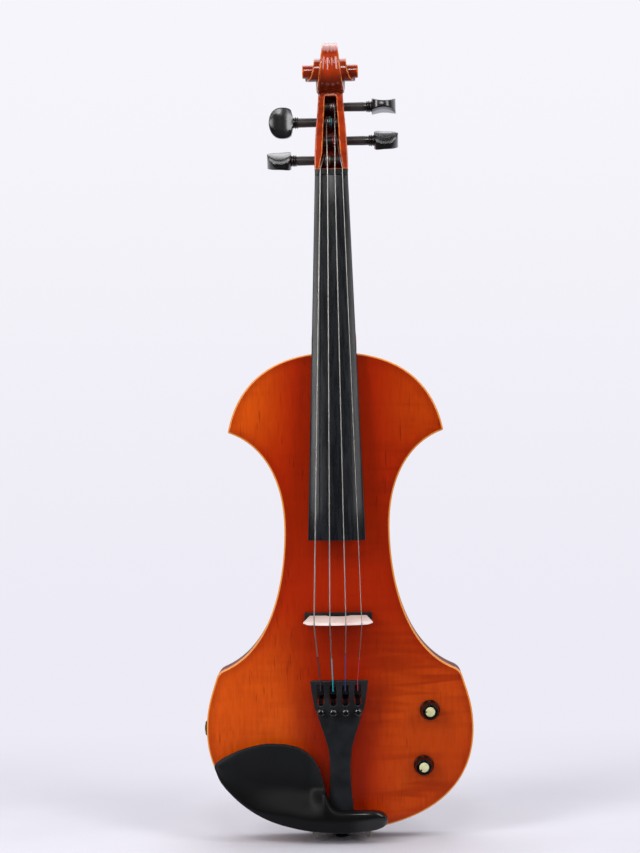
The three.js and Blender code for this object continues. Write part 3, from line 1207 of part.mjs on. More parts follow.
function addJack() {
  const wall = -LOWER_BOUT / 2;
  const inner = wall + RIB_WALL;
  const seat = inner + JACK_SEAT;
  const end = inner + JACK_BODY_LENGTH;
  const face = wall - JACK_NUT_THICK - JACK_STAND_OUT;
  const [bore, thread, housing, nutR] = [JACK_BORE / 2, JACK_THREAD / 2, JACK_BODY / 2, JACK_NUT / 2];
  const body = turned('x', [
    [face, bore], [face, thread - JACK_STAND_OUT / 2], [face + JACK_STAND_OUT, thread], [seat, thread],
    [seat, housing], [end, housing], [end, 0], [end - SINK, 0], [end - SINK, bore], [face, bore],
  ]);
  add('output_jack', body.translate(0, 0, WIDEST_Z), NICKEL);
  const nut = turned('x', [
    [wall - JACK_NUT_THICK, thread + GAP / 2], [wall - JACK_NUT_THICK, nutR * JACK_CHAMFER_SHARE],
    [wall - JACK_NUT_THICK / 2, nutR], [wall - GLUE_GAP, nutR], [wall - GLUE_GAP, thread + GAP / 2],
    [wall - JACK_NUT_THICK, thread + GAP / 2],
  ]);
  add('jack_nut', nut.translate(0, 0, WIDEST_Z), NICKEL);
}

// Leads inside the body: pickup to volume, volume to tone, tone to jack
function addLeads() {
  const r = LEAD_DIAMETER / 2;
  const potBack = INNER_FRONT + POT_HEIGHT + GAP + r;
  const deep = INNER_BACK - LEAD_DIAMETER * 2;
  const jackEnd = -LOWER_BOUT / 2 + RIB_WALL + JACK_BODY_LENGTH + GAP;
  const [vx, tx] = KNOB_X;
  const [vz, tz] = KNOB_Z;
  const step = POT_DIAMETER / 4;
  const middle = (a, b) => (a + b) / 2;
  const [shallow, turn] = [middle(deep, potBack), step * LEAD_TURN_SHARE];
  const routes = {
    pickup_lead: [
      at(0, ahead(PICKUP_HEIGHT / 2) + GAP, PICKUP_Z), at(0, INNER_FRONT, PICKUP_Z), at(0, 0, PICKUP_Z - r),
      at(vx / 3, deep, middle(PICKUP_Z, vz)), at(vx - step, shallow, vz + step * 2),
      at(vx - step, potBack, vz + step),
    ],
    tone_lead: [
      at(vx, potBack, vz - step), at(vx, shallow, vz - turn), at(middle(vx, tx), deep, middle(vz, tz)),
      at(tx, shallow, tz + turn), at(tx, potBack, tz + step),
    ],
    jack_lead: [
      at(tx - step, potBack, tz), at(tx - POT_DIAMETER, deep, tz), at(0, deep, tz),
      at(jackEnd + POT_DIAMETER, deep / 2, middle(tz, WIDEST_Z)), at(jackEnd + step, 0, WIDEST_Z),
      at(jackEnd, 0, WIDEST_Z),
    ],
  };
  Object.entries(routes).forEach(([name, points]) => {
    const curve = new THREE.CatmullRomCurve3(points, false, 'centripetal');
    add(name, tube(curve.getPoints(points.length * LEAD_STEPS), r, LEAD_SIDES), RED_LEAD);
  });
}

addBody();
addBlocks();
addNeck();
addFingerboard();
addPegs();
addStrings();
addBridge();
addTailpiece();
addTuners();
addTailEnd();
addChinrest();
addBracket();
addControls();
addJack();
addLeads();

export default violin;
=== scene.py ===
"""Looks of an electric violin: varnish, wood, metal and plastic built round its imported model.

Metres, in the frame of the model: Z up to the scroll, the top faces -Y, the treble side is +X.
"""

import math

import bmesh
import bpy
import numpy as np
from mathutils import Euler, Matrix, Vector


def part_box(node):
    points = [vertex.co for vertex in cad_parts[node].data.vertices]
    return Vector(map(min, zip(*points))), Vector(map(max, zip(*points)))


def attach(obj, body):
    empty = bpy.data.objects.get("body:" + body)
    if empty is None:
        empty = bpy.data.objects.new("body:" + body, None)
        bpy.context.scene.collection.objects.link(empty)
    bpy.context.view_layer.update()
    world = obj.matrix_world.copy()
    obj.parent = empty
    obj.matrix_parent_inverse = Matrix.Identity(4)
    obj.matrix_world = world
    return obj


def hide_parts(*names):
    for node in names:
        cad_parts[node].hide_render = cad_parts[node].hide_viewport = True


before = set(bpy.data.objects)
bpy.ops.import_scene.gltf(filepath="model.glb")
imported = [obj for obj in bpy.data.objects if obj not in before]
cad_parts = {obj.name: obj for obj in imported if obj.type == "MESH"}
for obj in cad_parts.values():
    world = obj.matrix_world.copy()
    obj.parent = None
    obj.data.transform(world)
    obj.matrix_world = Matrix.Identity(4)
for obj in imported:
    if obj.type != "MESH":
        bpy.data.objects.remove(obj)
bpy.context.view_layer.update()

bl_info = {
    "name": "Electric violin",
    "version": (1, 0, 0),
    "blender": (4, 5, 0),
    "location": "3D View > Sidebar > Violin",
    "description": "Builds the finished pieces of an electric violin round its packed model",
    "category": "Add Mesh",
}

# Places read from the model
TOP_LOW, TOP_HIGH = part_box("top_plate")
BOARD_LOW, BOARD_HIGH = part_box("fingerboard")
NUT_LOW, NUT_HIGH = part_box("nut")
TAIL_LOW, TAIL_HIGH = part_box("tailpiece")
BRIDGE_LOW, BRIDGE_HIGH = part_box("bridge")
PICKUP_LOW, PICKUP_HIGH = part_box("pickup_bar")
FRONT, FOOT = TOP_LOW.y, TOP_LOW.z
LOWER_HALF, HEAD = TOP_HIGH.x, TOP_HIGH.z
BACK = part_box("back_plate")[1].y
INNER_FRONT, INNER_BACK = (corner.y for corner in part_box("ribs"))
BODY_LENGTH = HEAD - FOOT
HEAD_Z = NUT_HIGH.z
HEAD_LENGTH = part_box("neck")[1].z - HEAD_Z

# Body outline
TIP_HALF = 0.0789
WAIST_HALF = 0.0385
CORNER_HALF = 0.0886
TIP_SHARE = 0.8343
WAIST_SHARE = 0.631
CORNER_SHARE = 0.3337
WIDEST_SHARE = 0.2124
# Handles of the five curves of one side, as shares of the way between their ends
OUTLINE_HANDLE_SHARES = (
    (0.664, 0, 0.928, 0.481),
    (0.512, 0.094, 1, 0.4045),
    (0, 0.214, 0.0876, 0.857),
    (0.436, 0.33, 1, 0.555),
    (0, 0.768, 0.5775, 1),
)
OUTLINE_STEP = 0.0022
CURVE_STEPS = 400
TIP_ROUND = 0.0012
CORNER_ROUND = 0.0045
# How much longer the rounds get on an outline that is moved inwards, as shares of the move
TIP_ROUND_GAIN = 0.9
CORNER_ROUND_GAIN = 0.6
CORNER_STEPS = 6
RIB_WALL = 0.005
JACK_BORE = 0.0101
EDGE_ROUND = 0.0016
EDGE_STEPS = 6
# Distances from the edge at which the plate has points, less where it is narrower than twice this half
PLATE_ROWS = (0.0005, 0.001, 0.0015, 0.002, 0.0028, 0.004, 0.006, 0.009, 0.013, 0.018, 0.024, 0.031)
NARROW_HALF = 0.04
# Points between the two innermost ones, as shares of their distance from the middle
PLATE_MIDDLE_SHARES = (0.5, 0, -0.5)

# Where the top's varnish is light or dark: heights, and distances to the side; the darkening on the treble
# side is painted shade
GLOW_LOWER_Z = (0.185, 0.1)
GLOW_LOWER_X = (0.012, 0.05)
GLOW_UPPER_Z = (0.265, 0.32)
GLOW_UPPER_X = (0.026, 0.068)
MIDDLE_SHADE_X = (0.045, 0.012)
TREBLE_X = (-0.02, 0.06)
RIM_SHADE_REACH = (0.001, 0.008)
EDGE_WAVE = 0.0005
EDGE_FADE_SHARE = 1.7

# Fingerboard, nut and neck
BOARD_RADIUS = 0.042
BOARD_SLOPE = 0.078
BOARD_EDGE = 0.005
BOARD_ROUND = 0.0004
BOARD_END_HALF = BOARD_HIGH.x
NUT_HALF = NUT_HIGH.x
NUT_Z = BOARD_HIGH.z
BOARD_END_Z = BOARD_LOW.z
BOARD_ROWS = 12
BOARD_SIDES = 24
NUT_ROWS = 4
NECK_THICK_NUT = 0.0184
NECK_THICK_HEEL = 0.0206
HEEL_LENGTH = 0.03
HEEL_WIDTH = 0.033
BUTTON_WIDTH = 0.022
NECK_STEPS = 24
NECK_SIDES = 32
HEEL_STEPS = 27
NECK_LIP_SHARE = 0.25
NECK_ROUND_POWER = 0.8
HEEL_ROUND_POWER = 0.7
# Where the neck's varnish turns from matt to glossy
NECK_GLOSS_Z = (0.478, 0.492)
# The heel from the fingerboard to the back: depth, width and length as shares
HEEL_SHARES = (
    (0, 1, 1.25), (0.3, 1, 1), (0.5, 0.95, 0.62), (0.7, 0.85, 0.42), (0.9, 0.74, 0.4), (1, 0.7, 0.46),
)

# Pegbox and scroll
HEAD_DEPTH = 0.028
PEGBOX_WIDTH = 0.0248
# Side view of the pegbox: along the head, front edge, back edge, and width as a share of the pegbox's
PEGBOX_SHARES = (
    (0, -0.582, 0.214, 1), (0.054, -0.521, 0.375, 0.996), (0.136, -0.43, 0.518, 0.976),
    (0.24, -0.314, 0.625, 0.935), (0.363, -0.161, 0.736, 0.87), (0.487, -0.007, 0.857, 0.79),
    (0.595, 0.13, 0.946, 0.742),
)
# The trough: along the head, its floor, and its width
TROUGH_SHARES = (
    (0.006, -0.07, 0.69), (0.064, 0.18, 0.625), (0.146, 0.314, 0.516), (0.239, 0.414, 0.476),
    (0.363, 0.525, 0.435), (0.487, 0.625, 0.371), (0.585, 0.607, 0.331),
)
EYE_SHARE = 0.772
EYE_Y = 0.007
SCROLL_RADIUS = 0.0219
SCROLL_WIDTH = 0.0416
SCROLL_START = 45
SCROLL_SPAN = 356
# The throat, at angles round the eye: how far its front lies from the eye towards the pegbox, its
# radius as a share of the spiral's, and how much of the pegbox's width it keeps
THROAT_SHARES = (
    (-22, 0.55, 0.93, 0.64), (0, 0, 0.88, 0.3), (22, 0, 0.94, 0.09), (45, 0, 1, 0), (55, 0, 1, 0),
)
# Radius of the spiral at angles round it, in degrees, as a share of its radius at the crown
SPIRAL_SHARES = (
    (45, 1.075), (90, 1), (180, 0.863), (270, 0.725), (360, 0.585), (450, 0.475), (540, 0.393),
    (630, 0.324), (720, 0.29), (810, 0.26), (1130, 0.178),
)
# Width of the spiral's band at angles round it, in degrees, as a share of the width over the eyes
BAND_SHARES = (
    (0, 0.365), (45, 0.29), (90, 0.26), (180, 0.38), (262, 0.51), (360, 0.54), (450, 0.57), (540, 0.635),
    (620, 0.84), (720, 0.96), (810, 0.995), (1130, 1),
)
SCROLL_CORE_SHARES = (0.24, 0.48, 0.995)
CHEEK_CROWN = 0.0009
CHEEK_STEPS = 8
SPINE_STEPS = 32
PEGBOX_STEPS = 21
THROAT_STEPS = 15
TROUGH_STEPS = 19
SCROLL_STEPS = 96
# Painted shade in the hollow under the scroll, below its eye, as shares of its radius
HOLLOW_SHADE_SHARES = (0.45, 0.7, 0.85)
FLUTE_DEPTH = 0.0009
# The two flutes across the spine: place, and depth as a share of the deepest
FLUTE_SHARES = ((-1, 0.55), (-0.82, 0), (-0.42, 1), (0, 0.1), (0.42, 1), (0.82, 0), (1, 0.55))

# Pegs: along the head, side of the thumb piece, and how the thumb piece is turned
STRING_NAMES = ("g", "d", "a", "e")
PEG_ALONG_SHARES = (0.0867, 0.389, 0.51, 0.2395)
PEG_DEPTH_SHARES = (-0.036, 0.268, 0.393, 0.125)
PEG_SIDES = (-1, -1, 1, 1)
PEG_TURNS = (61, 0, 87, -59)
# How far each peg stands out beyond the modelled place of its collar
PEG_REACHES = (-0.0004, -0.0017, 0.0004, 0.0017)
PEG_SHAFT = 0.007
PEG_TAPER_SHARE = 0.87
# Where a peg's wood turns from dull to polished, from the start of its collar
PEG_POLISH_REACHES = (-0.003, 0.001)
PEG_END_ROUND = 0.0004
PEG_END_SHARE = 0.85
COLLAR_X = 0.026
COLLAR_LENGTH = 0.004
COLLAR_DIAMETER = 0.0091
COLLAR_GROOVE = 0.0008
# Rings turned on the collar: their middle along it, and their radius as a share of its own
COLLAR_RINGS = ((0.14, 0.94), (0.5, 1), (0.86, 0.9))
COLLAR_RING_HALF = 0.14
COLLAR_RING_STEPS = (-1, -0.6, 0, 0.6, 1)
PEG_NECK = 0.006
PEG_NECK_LENGTH = 0.002
THUMB_LENGTH = 0.0178
THUMB_WIDTH = 0.0232
THUMB_THICK = 0.0112
THUMB_WAIST = 0.0066
THUMB_RIM_SHARE = 0.78
THUMB_RIM_POWER = 6
THUMB_ROUND = 0.0011
THUMB_ROUND_MOST = 0.9
THUMB_STEPS = 26
THUMB_FACE_STEPS = 8
THUMB_EDGE_STEPS = 5
THUMB_CURVE_STEPS = 60
# The thumb piece ends just short of its curve's end, on a section of this half width
THUMB_LAST_SHARE = 0.9995
THUMB_LEAST_HALF = 0.0002
# One side of the thumb piece: the curve's start, then two runs of handles and end
THUMB_START_SHARE = 0.45
THUMB_CURVE_SHARES = ((0, 0.9, 0.2, 1, 0.45, 1), (0.85, 1, 1, 0.45, 1, 0))

# Strings, from the low G to the high E
STRING_DIAMETERS = (0.0009, 0.0008, 0.0007, 0.0005)
NUT_SPREAD = 0.0162
BRIDGE_SPREAD = 0.0342
TAIL_SPREAD = 0.0268
NUT_RISE = 0.0009
STRING_LIFT = 0.0002
WINDING_TURNS = 3
WINDING_STEPS = 40
WINDING_CLEAR = 0.0005
STRING_SIDES = 10
GROOVE_SIDES = 16
WINDING_START_SHARES = (-0.42, -0.3, 0.3, 0.42)
SILK_ENDS = (0.1371, 0.1361, 0.1396, 0.1343)
PEG_SILK_TURNS = (0, 1, 0, 2)
PEG_SILK_REACH = 0.008
SILK_COLORS = ("#26262b", "#109aa6", "#22386f", "#b8263a")

# Bridge, tailpiece and fine tuners
BRIDGE_HEIGHT = FRONT - BRIDGE_LOW.y
BRIDGE_TOP_HALF = BRIDGE_HIGH.x
BRIDGE_FOOT_HALF = 0.0206
BRIDGE_FOOT_LENGTH = 0.012
BRIDGE_RADIUS = 0.042
BRIDGE_BASE = 0.0048
BRIDGE_EDGE = 0.0016
BRIDGE_SHOULDER = 0.0012
BRIDGE_END_THICK = 0.0007
BRIDGE_ARCH = 0.0034
# Where the bridge's ends grow thin: how far in, and from what share of its height up
BRIDGE_THIN_REACH = 0.0035
BRIDGE_THIN_SHARES = (0.5, 0.8)
BRIDGE_ROUND = 0.0006
BRIDGE_STEPS = 16
PICKUP_ROUND = 0.0005
TAIL_HEAD_Z = TAIL_HIGH.z
TAIL_END_Z = TAIL_LOW.z
TAIL_HEAD_HALF = TAIL_HIGH.x
TAIL_HEAD_HEIGHT = 0.0204
TAIL_END_HEIGHT = 0.0126
TAIL_THICK = 0.0082
TAIL_RADIUS = 0.046
# Down the tailpiece: along it, width and thickness as shares of the head's
TAIL_SHARES = (
    (0, 1.045, 1), (0.08, 0.995, 1), (0.2, 0.885, 1), (0.26, 0.78, 0.95), (0.33, 0.66, 0.8),
    (0.41, 0.53, 0.7), (0.5, 0.415, 0.66), (0.62, 0.37, 0.66), (0.76, 0.388, 0.7), (0.88, 0.44, 0.8),
    (0.97, 0.47, 0.86), (1, 0.43, 0.8),
)
TAIL_GRAIN = 0.0004
TAIL_PASSES = 2
TAIL_UNDER_SHARE = 0.8
TAIL_STEPS = 59
TAIL_SIDES = 20
SLOT_WIDTH = 0.0048
SLOT_STEPS = 12
SLOT_TOP_SHARE = 0.031
SLOT_END_SHARE = 0.18
LEVER_ROOM_SHARE = 0.6
STRING_END_SHARE = 0.057
TUNER_SHARE = 0.222
TUNER_HEAD = 0.006
TUNER_HEAD_HEIGHT = 0.005
TUNER_STEM = 0.0026
TUNER_TIP = 0.0004
TUNER_TIP_SHARE = 0.8
TUNER_SEAT = 0.0006
TUNER_SEAT_SHARES = (0.78, 0.8)
# The round head starts this share of a half circle in, where a ball has risen this much of its radius
TUNER_ROUND_START = 0.2
TUNER_ROUND_RISE = 0.19
TUNER_ROUND_POWER = 0.75
TUNER_STEPS = 16
TUNER_LENGTH = 0.012
LEVER_THICK = 0.0018
FORK_WIDTH = 0.0046
FORK_REACH = 0.0016
FORK_SLIT = 0.0011
FORK_SLIT_LENGTH = 0.0042
FORK_ROUND = 0.0002
# The fork's slanted tip, and its root behind the axle, in thicknesses of the lever
FORK_SLANT = 1.5
FORK_ROOT = 3
LEVER_ARM_WIDTH = 0.0034
HOOK_RISE = 0.0026

# Chinrest
REST_LEFT_X = -0.0914
REST_LENGTH = 0.1252
REST_WIDTH = 0.062
REST_FOOT_Z = 0.009
REST_DISH_HEIGHT = 0.0155
REST_RIM = 0.002
REST_ARM_HEIGHT = 0.026
REST_THICK = 0.006
REST_EDGE = 0.0034
REST_APRON = 0.0092
REST_APRON_DROP = 0.0046
REST_APRON_SHARES = (0.16, 0.46)
REST_VALLEY = 0.022
REST_ARM_ROUND_SHARES = (0.7, 0.95)
REST_ARM_DROP = 0.005
REST_ARM_EDGE = 0.0015
REST_UNDER_SHARE = 0.95
REST_SOFT = 0.0012
REST_SOFT_SHARE = 0.2
REST_SOFT_STEPS = 4
REST_CREST_SHARE = 0.62
REST_RISE_SHARES = (0.54, 0.68)
# Places across the ridge's outer side, down to the dish, and on to the dish's far edge
REST_RIDGE_STEPS = (0.4, 0.8, 0.92)
REST_FALL_STEPS = (0, 0.06, 0.12, 0.2, 0.32, 0.46, 0.6, 0.74, 0.88, 1)
REST_DISH_STEPS = (0.25, 0.5, 0.75)
# Where the rest is painted lighter grey high on the dish as painted light, and where the arm is polished
REST_PAINTED_LIGHT_Z = (0.034, 0.062)
REST_PAINTED_LIGHT_WAVE = 0.008
REST_POLISHED_X = (0.004, 0.02)
# Across the violin: along the rest, lower edge, upper edge, and how much of the arm's height it has
REST_SHARES = (
    (0, 0.775, 0.8, 0), (0.03, 0.62, 0.855, 0), (0.08, 0.485, 0.91, 0), (0.15, 0.35, 0.972, 0.1),
    (0.23, 0.235, 1.018, 0.25), (0.31, 0.15, 1.042, 0.45), (0.39, 0.09, 1.037, 0.6),
    (0.47, 0.05, 1.007, 0.75), (0.53, 0.028, 0.947, 0.85), (0.575, 0.016, 0.868, 0.9),
    (0.61, 0.01, 0.75, 0.95), (0.635, 0.006, 0.585, 1), (0.66, 0.003, 0.4, 1), (0.695, 0, 0.3, 1),
    (0.75, 0, 0.28, 1), (0.85, 0.01, 0.28, 0.98), (0.92, 0.028, 0.275, 0.93), (0.955, 0.046, 0.262, 0.84),
    (0.982, 0.07, 0.235, 0.7), (1, 0.115, 0.18, 0.5),
)
# Runs of sections along the rest: start, end and how many
REST_RUNS = ((0, 0.08, 13), (0.08, 0.93, 83), (0.93, 1, 11))
REST_GRAIN = 0.0007
REST_PASSES = 16
FOOT_SPACING = 0.044
FOOT_WIDTH = 0.012
FOOT_LENGTH = 0.0075
FOOT_HEIGHT = 0.019
FOOT_RISE = 0.0038
FOOT_ROUND = 0.0006
CORK = 0.0016

# Knobs
KNOB_NAMES = ("volume", "tone")
KNOB_DIAMETER = 0.0146
KNOB_TOP = 0.0114
KNOB_ROUND = 0.0014
KNOB_EDGE = 0.0003
KNOB_STEPS = 8
# The knob's flank with the groove round it: shares of its height from the top, and of its radius
KNOB_FLANK = ((0.62, 0.88), (0.7, 0.93), (0.715, 0.905), (0.73, 0.905), (0.745, 0.96), (0.8, 1))
KNOB_CAVITY = 0.0063
KNOB_CAVITY_SHARE = 0.66
KNOB_BORE = 0.0027
KNOB_TURNS = (90, 135)
CAP_DIAMETER = 0.0069
CAP_THICK = 0.0012
CAP_EDGE = 0.0002
CAP_RISE = 0.00035
CAP_SINK = 0.00015
CAP_NOTCH = 0.0011

# Camera, as worked out from the photograph
CAMERA_PLACE = (0.0171, -1.5164, 0.3026)
CAMERA_TURN = math.radians(1.08)
CAMERA_ROLL = math.radians(-0.9)
FOCAL_PIXELS = 2054
PICTURE_HEIGHT = 853
SENSOR = 36
NEAREST, FARTHEST = 0.05, 20

# Floor: near edge, far edge and half width, and where it fades into the background on both sides
FLOOR_NEAR, FLOOR_FAR, FLOOR_HALF = -0.9, 0.9, 2
FLOOR_FADE_BEHIND = (0.1, 0.55)
FLOOR_FADE_BEFORE = (-0.08, -0.42)
FLOOR_DIM_BEFORE = (-0.05, -0.12)
# How the room grows dim towards the camera: the heading's Y, and the least light as shares
ROOM_BEHIND = (-0.25, 0.15)
ROOM_BEFORE = (-0.95, -0.4)
ROOM_BEFORE_SHARE = 0.15
DIM_ROOM = 0.06
WALL_HEIGHTS = (-0.12, 0.2)
# Softboxes, each with a strength of its own name: place, aim, width and height
LAMPS = (
    ("key", (-0.95, -1.05, 1.0), (0, 0, 0.3), (0.5, 1.4)),
    ("fill", (1.0, -1.0, 1.0), (0, 0, 0.3), (0.5, 1.4)),
    ("front", (0.0, -1.3, 1.2), (0, 0, 0.5), (0.3, 0.35)),
    ("overhead", (0.0, 0.5, 1.45), (0, 0.3, 0.3), (1.2, 1.15)),
)

# Room between pieces, overrun of the cutting tools, and how meshes are cleaned and shaded
GAP = 0.0003
OVERRUN = 0.02
AXIS_RADIUS = 0.00005
MERGE_REACH = 1e-6
TINY_EDGE = 1e-7
NOT_ZERO = 1e-12
SHARP_ANGLE = math.radians(38)
PLATE_SHARP_ANGLE = math.radians(30)
EASED_SHARP_ANGLE = math.radians(50)
REST_SHARP_ANGLE = math.radians(60)
EASING_ANGLE = math.radians(40)
NECK_PASSES = 3
WORN_SPREAD = 2
WORN_GAIN = 6


# Mesh making

def lerp(a, b, share):
    return a + (b - a) * share


def smoothstep(value, low, high):
    share = min(max((value - low) / (high - low), 0), 1)
    return share * share * (3 - 2 * share)


def flowing(table, places):
    """Values of a table's columns at places along its first one, on curves that never overshoot."""
    rows = np.array(table, float)
    x, y = rows[:, 0], rows[:, 1:]
    step = np.diff(x)[:, None]
    rise = np.diff(y, axis=0) / step
    tangent = np.zeros_like(y)
    tangent[0], tangent[-1] = rise[0], rise[-1]
    same = rise[:-1] * rise[1:] > 0
    mean = np.where(same, 2 * rise[:-1] * rise[1:] / np.where(same, rise[:-1] + rise[1:], 1), 0)
    tangent[1:-1] = mean
    result = []
    for place in places:
        k = int(np.clip(np.searchsorted(x, place) - 1, 0, len(x) - 2))
        h = x[k + 1] - x[k]
        t = (place - x[k]) / h
        result.append(
            (2 * t**3 - 3 * t**2 + 1) * y[k] + (t**3 - 2 * t**2 + t) * h * tangent[k]
            + (3 * t**2 - 2 * t**3) * y[k + 1] + (t**3 - t**2) * h * tangent[k + 1]
        )
    return np.array(result)


def flow_at(table, place):
    """One value of a table's second column, on its curve."""
    return float(flowing(table, [place])[0][0])


def flow_rows(table, steps):
    """A table's rows on its curves, at even places from its first to its last."""
    places = np.linspace(table[0][0], table[-1][0], steps + 1)
    return [(place, *row) for place, row in zip(places, flowing(table, places))]


def across(steps):
    """Even steps from one side to the other, from -1 to 1."""
    return [2 * k / steps - 1 for k in range(steps + 1)]


def arc(steps, span):
    """Sines and cosines at even steps through an angle."""
    return [(math.sin(angle), math.cos(angle)) for angle in (span * k / steps for k in range(steps + 1))]


def middle_of(name):
    """The middle of one node of the model."""
    low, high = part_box(name)
    return (low + high) / 2


def placed(name, data):
    """A new object in the scene."""
    thing = bpy.data.objects.new(name, data)
    bpy.context.scene.collection.objects.link(thing)
    return thing


def shade(piece, angle=SHARP_ANGLE):
    piece.data.shade_smooth()
    piece.data.set_sharp_from_angle(angle=angle)
    return piece


def new_piece(name, points, faces):
    """A closed mesh object with its faces turned outwards."""
    mesh = bpy.data.meshes.new(name)
    mesh.from_pydata([tuple(p) for p in points], [], faces)
    work = bmesh.new()
    work.from_mesh(mesh)
    bmesh.ops.remove_doubles(work, verts=work.verts, dist=MERGE_REACH)
    bmesh.ops.dissolve_degenerate(work, edges=work.edges, dist=TINY_EDGE)
    bmesh.ops.recalc_face_normals(work, faces=work.faces)
    if work.calc_volume(signed=True) < 0:
        bmesh.ops.reverse_faces(work, faces=work.faces)
    work.to_mesh(mesh)
    work.free()
    return shade(placed(name, mesh))


def band(a, b, sides):
    """Faces between two closed rings of points, numbered from a and from b."""
    return [(a + k, a + (k + 1) % sides, b + (k + 1) % sides, b + k) for k in range(sides)]


def loft(name, rings, loop=False):
    """Skin over rings of points that follow each other."""
    sides, count = len(rings[0]), len(rings)
    faces = []
    for i in range(count if loop else count - 1):
        faces += band(i * sides, (i + 1) % count * sides, sides)
    if not loop:
        faces.append(tuple(reversed(range(sides))))
        faces.append(tuple((count - 1) * sides + k for k in range(sides)))
    return new_piece(name, [p for ring in rings for p in ring], faces)


def turned(name, profile, place=(0, 0, 0), axis="y", segments=72):
    """Turned piece from pairs of distance along its axis and radius."""
    rings = []
    for along, radius in profile:
        ring = []
        for k in range(segments):
            angle = 2 * math.pi * k / segments
            u, v = radius * math.cos(angle), radius * math.sin(angle)
            local = {"x": (along, u, v), "y": (u, along, v), "z": (u, v, along)}[axis]
            ring.append(Vector(local) + Vector(place))
        rings.append(ring)
    return loft(name, rings)


def rod(name, low, high, radius, place, axis, segments):
    """Round tool between two places along its axis."""
    return turned(name, [(low, radius), (high, radius)], place, axis, segments)


def block(name, low, high):
    (x0, y0, z0), (x1, y1, z1) = low, high
    return loft(name, [[(x0, y0, z), (x1, y0, z), (x1, y1, z), (x0, y1, z)] for z in (z0, z1)])


def shaped_mesh(piece, name):
    """A new mesh in the shape that a piece's modifiers make."""
    bpy.context.view_layer.update()
    seen = piece.evaluated_get(bpy.context.evaluated_depsgraph_get())
    mesh = bpy.data.meshes.new_from_object(seen)
    mesh.name = name
    return mesh


def settle(piece):
    """Applies the modifiers of a piece."""
    mesh = shaped_mesh(piece, piece.name)
    piece.modifiers.clear()
    piece.data = mesh
    return piece


def carve(whole, *tools):
    """Takes the tools out of a piece."""
    for tool in tools:
        step = whole.modifiers.new(tool.name, "BOOLEAN")
        step.operation = "DIFFERENCE"
        step.solver = "EXACT"
        step.object = tool
    settle(whole)
    for tool in tools:
        bpy.data.objects.remove(tool)
    return shade(whole)


def merged(name, *parts):
    """Closed shells in one object."""
    work = bmesh.new()
    for part in parts:
        work.from_mesh(part.data)
        bpy.data.objects.remove(part)
    mesh = bpy.data.meshes.new(name)
    work.to_mesh(mesh)
    work.free()
    return shade(placed(name, mesh))


def carved_by_hand(piece, grain, passes):
    """One even skin over a piece, with its edges eased."""
    skin = piece.modifiers.new("skin", "REMESH")
    skin.mode = "VOXEL"
    skin.voxel_size = grain
    eased = piece.modifiers.new("eased", "SMOOTH")
    eased.iterations = passes
    settle(piece)
    piece.data.shade_smooth()
    return piece


def eased_edges(piece, width, segments=3):
    """Small rounds on the edges of a piece."""
    bevel = piece.modifiers.new("edges", "BEVEL")
    bevel.width = width
    bevel.segments = segments
    bevel.limit_method = "ANGLE"
    bevel.angle_limit = EASING_ANGLE
    return shade(settle(piece), EASED_SHARP_ANGLE)


def gathered(items, what, size, kind=float):
    """One property of all points or edges of a mesh, in rows."""
    values = np.zeros(len(items) * size, kind)
    items.foreach_get(what, values)
    return values.reshape(-1, size)


def note(piece, name, values):
    """Keeps one number for each point of a piece, which its material reads."""
    layer = piece.data.attributes.new(name, "FLOAT", "POINT")
    layer.data.foreach_set("value", np.asarray(values, np.float32))


def note_worn_edges(piece):
    """Marks where the skin stands out, which handling wears first."""
    points = gathered(piece.data.vertices, "co", 3)
    edges = gathered(piece.data.edges, "vertices", 2, int)
    normals = gathered(piece.data.vertex_normals, "vector", 3)
    count = np.bincount(edges.ravel(), minlength=len(points))[:, None]

    def around(values):
        total = np.zeros_like(values)
        np.add.at(total, edges[:, 0], values[edges[:, 1]])
        np.add.at(total, edges[:, 1], values[edges[:, 0]])
        return total / np.maximum(count, 1)

    stand = -np.sum((around(points) - points) * normals, axis=1)[:, None]
    size = np.linalg.norm(points[edges[:, 0]] - points[edges[:, 1]], axis=1).mean()
    for _ in range(WORN_SPREAD):
        stand = (stand + around(stand)) / 2
    note(piece, "worn", np.clip(stand[:, 0] / size * WORN_GAIN, 0, 1))


def finished(piece, body, slot, *nodes, material=None):
    """Gives a piece its material and its place in the model."""
    if material is not None:
        piece.data.materials.clear()
        piece.data.materials.append(material)
    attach(piece, body)
    if nodes:
        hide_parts(*nodes)


# Shader making

def linear(code):
    """A hex colour as Blender's linear values, with full cover."""
    values = [int(code[k:k + 2], 16) / 255 for k in (1, 3, 5)]
    return tuple(v / 12.92 if v <= 0.04045 else ((v + 0.055) / 1.055) ** 2.4 for v in values) + (1,)


def node(tree, kind, inputs=None, **settings):
    made = tree.nodes.new(kind)
    for name, value in settings.items():
        setattr(made, name, value)
    for key, value in (inputs or {}).items():
        if isinstance(value, bpy.types.NodeSocket):
            tree.links.new(value, made.inputs[key])
        else:
            made.inputs[key].default_value = value
    return made


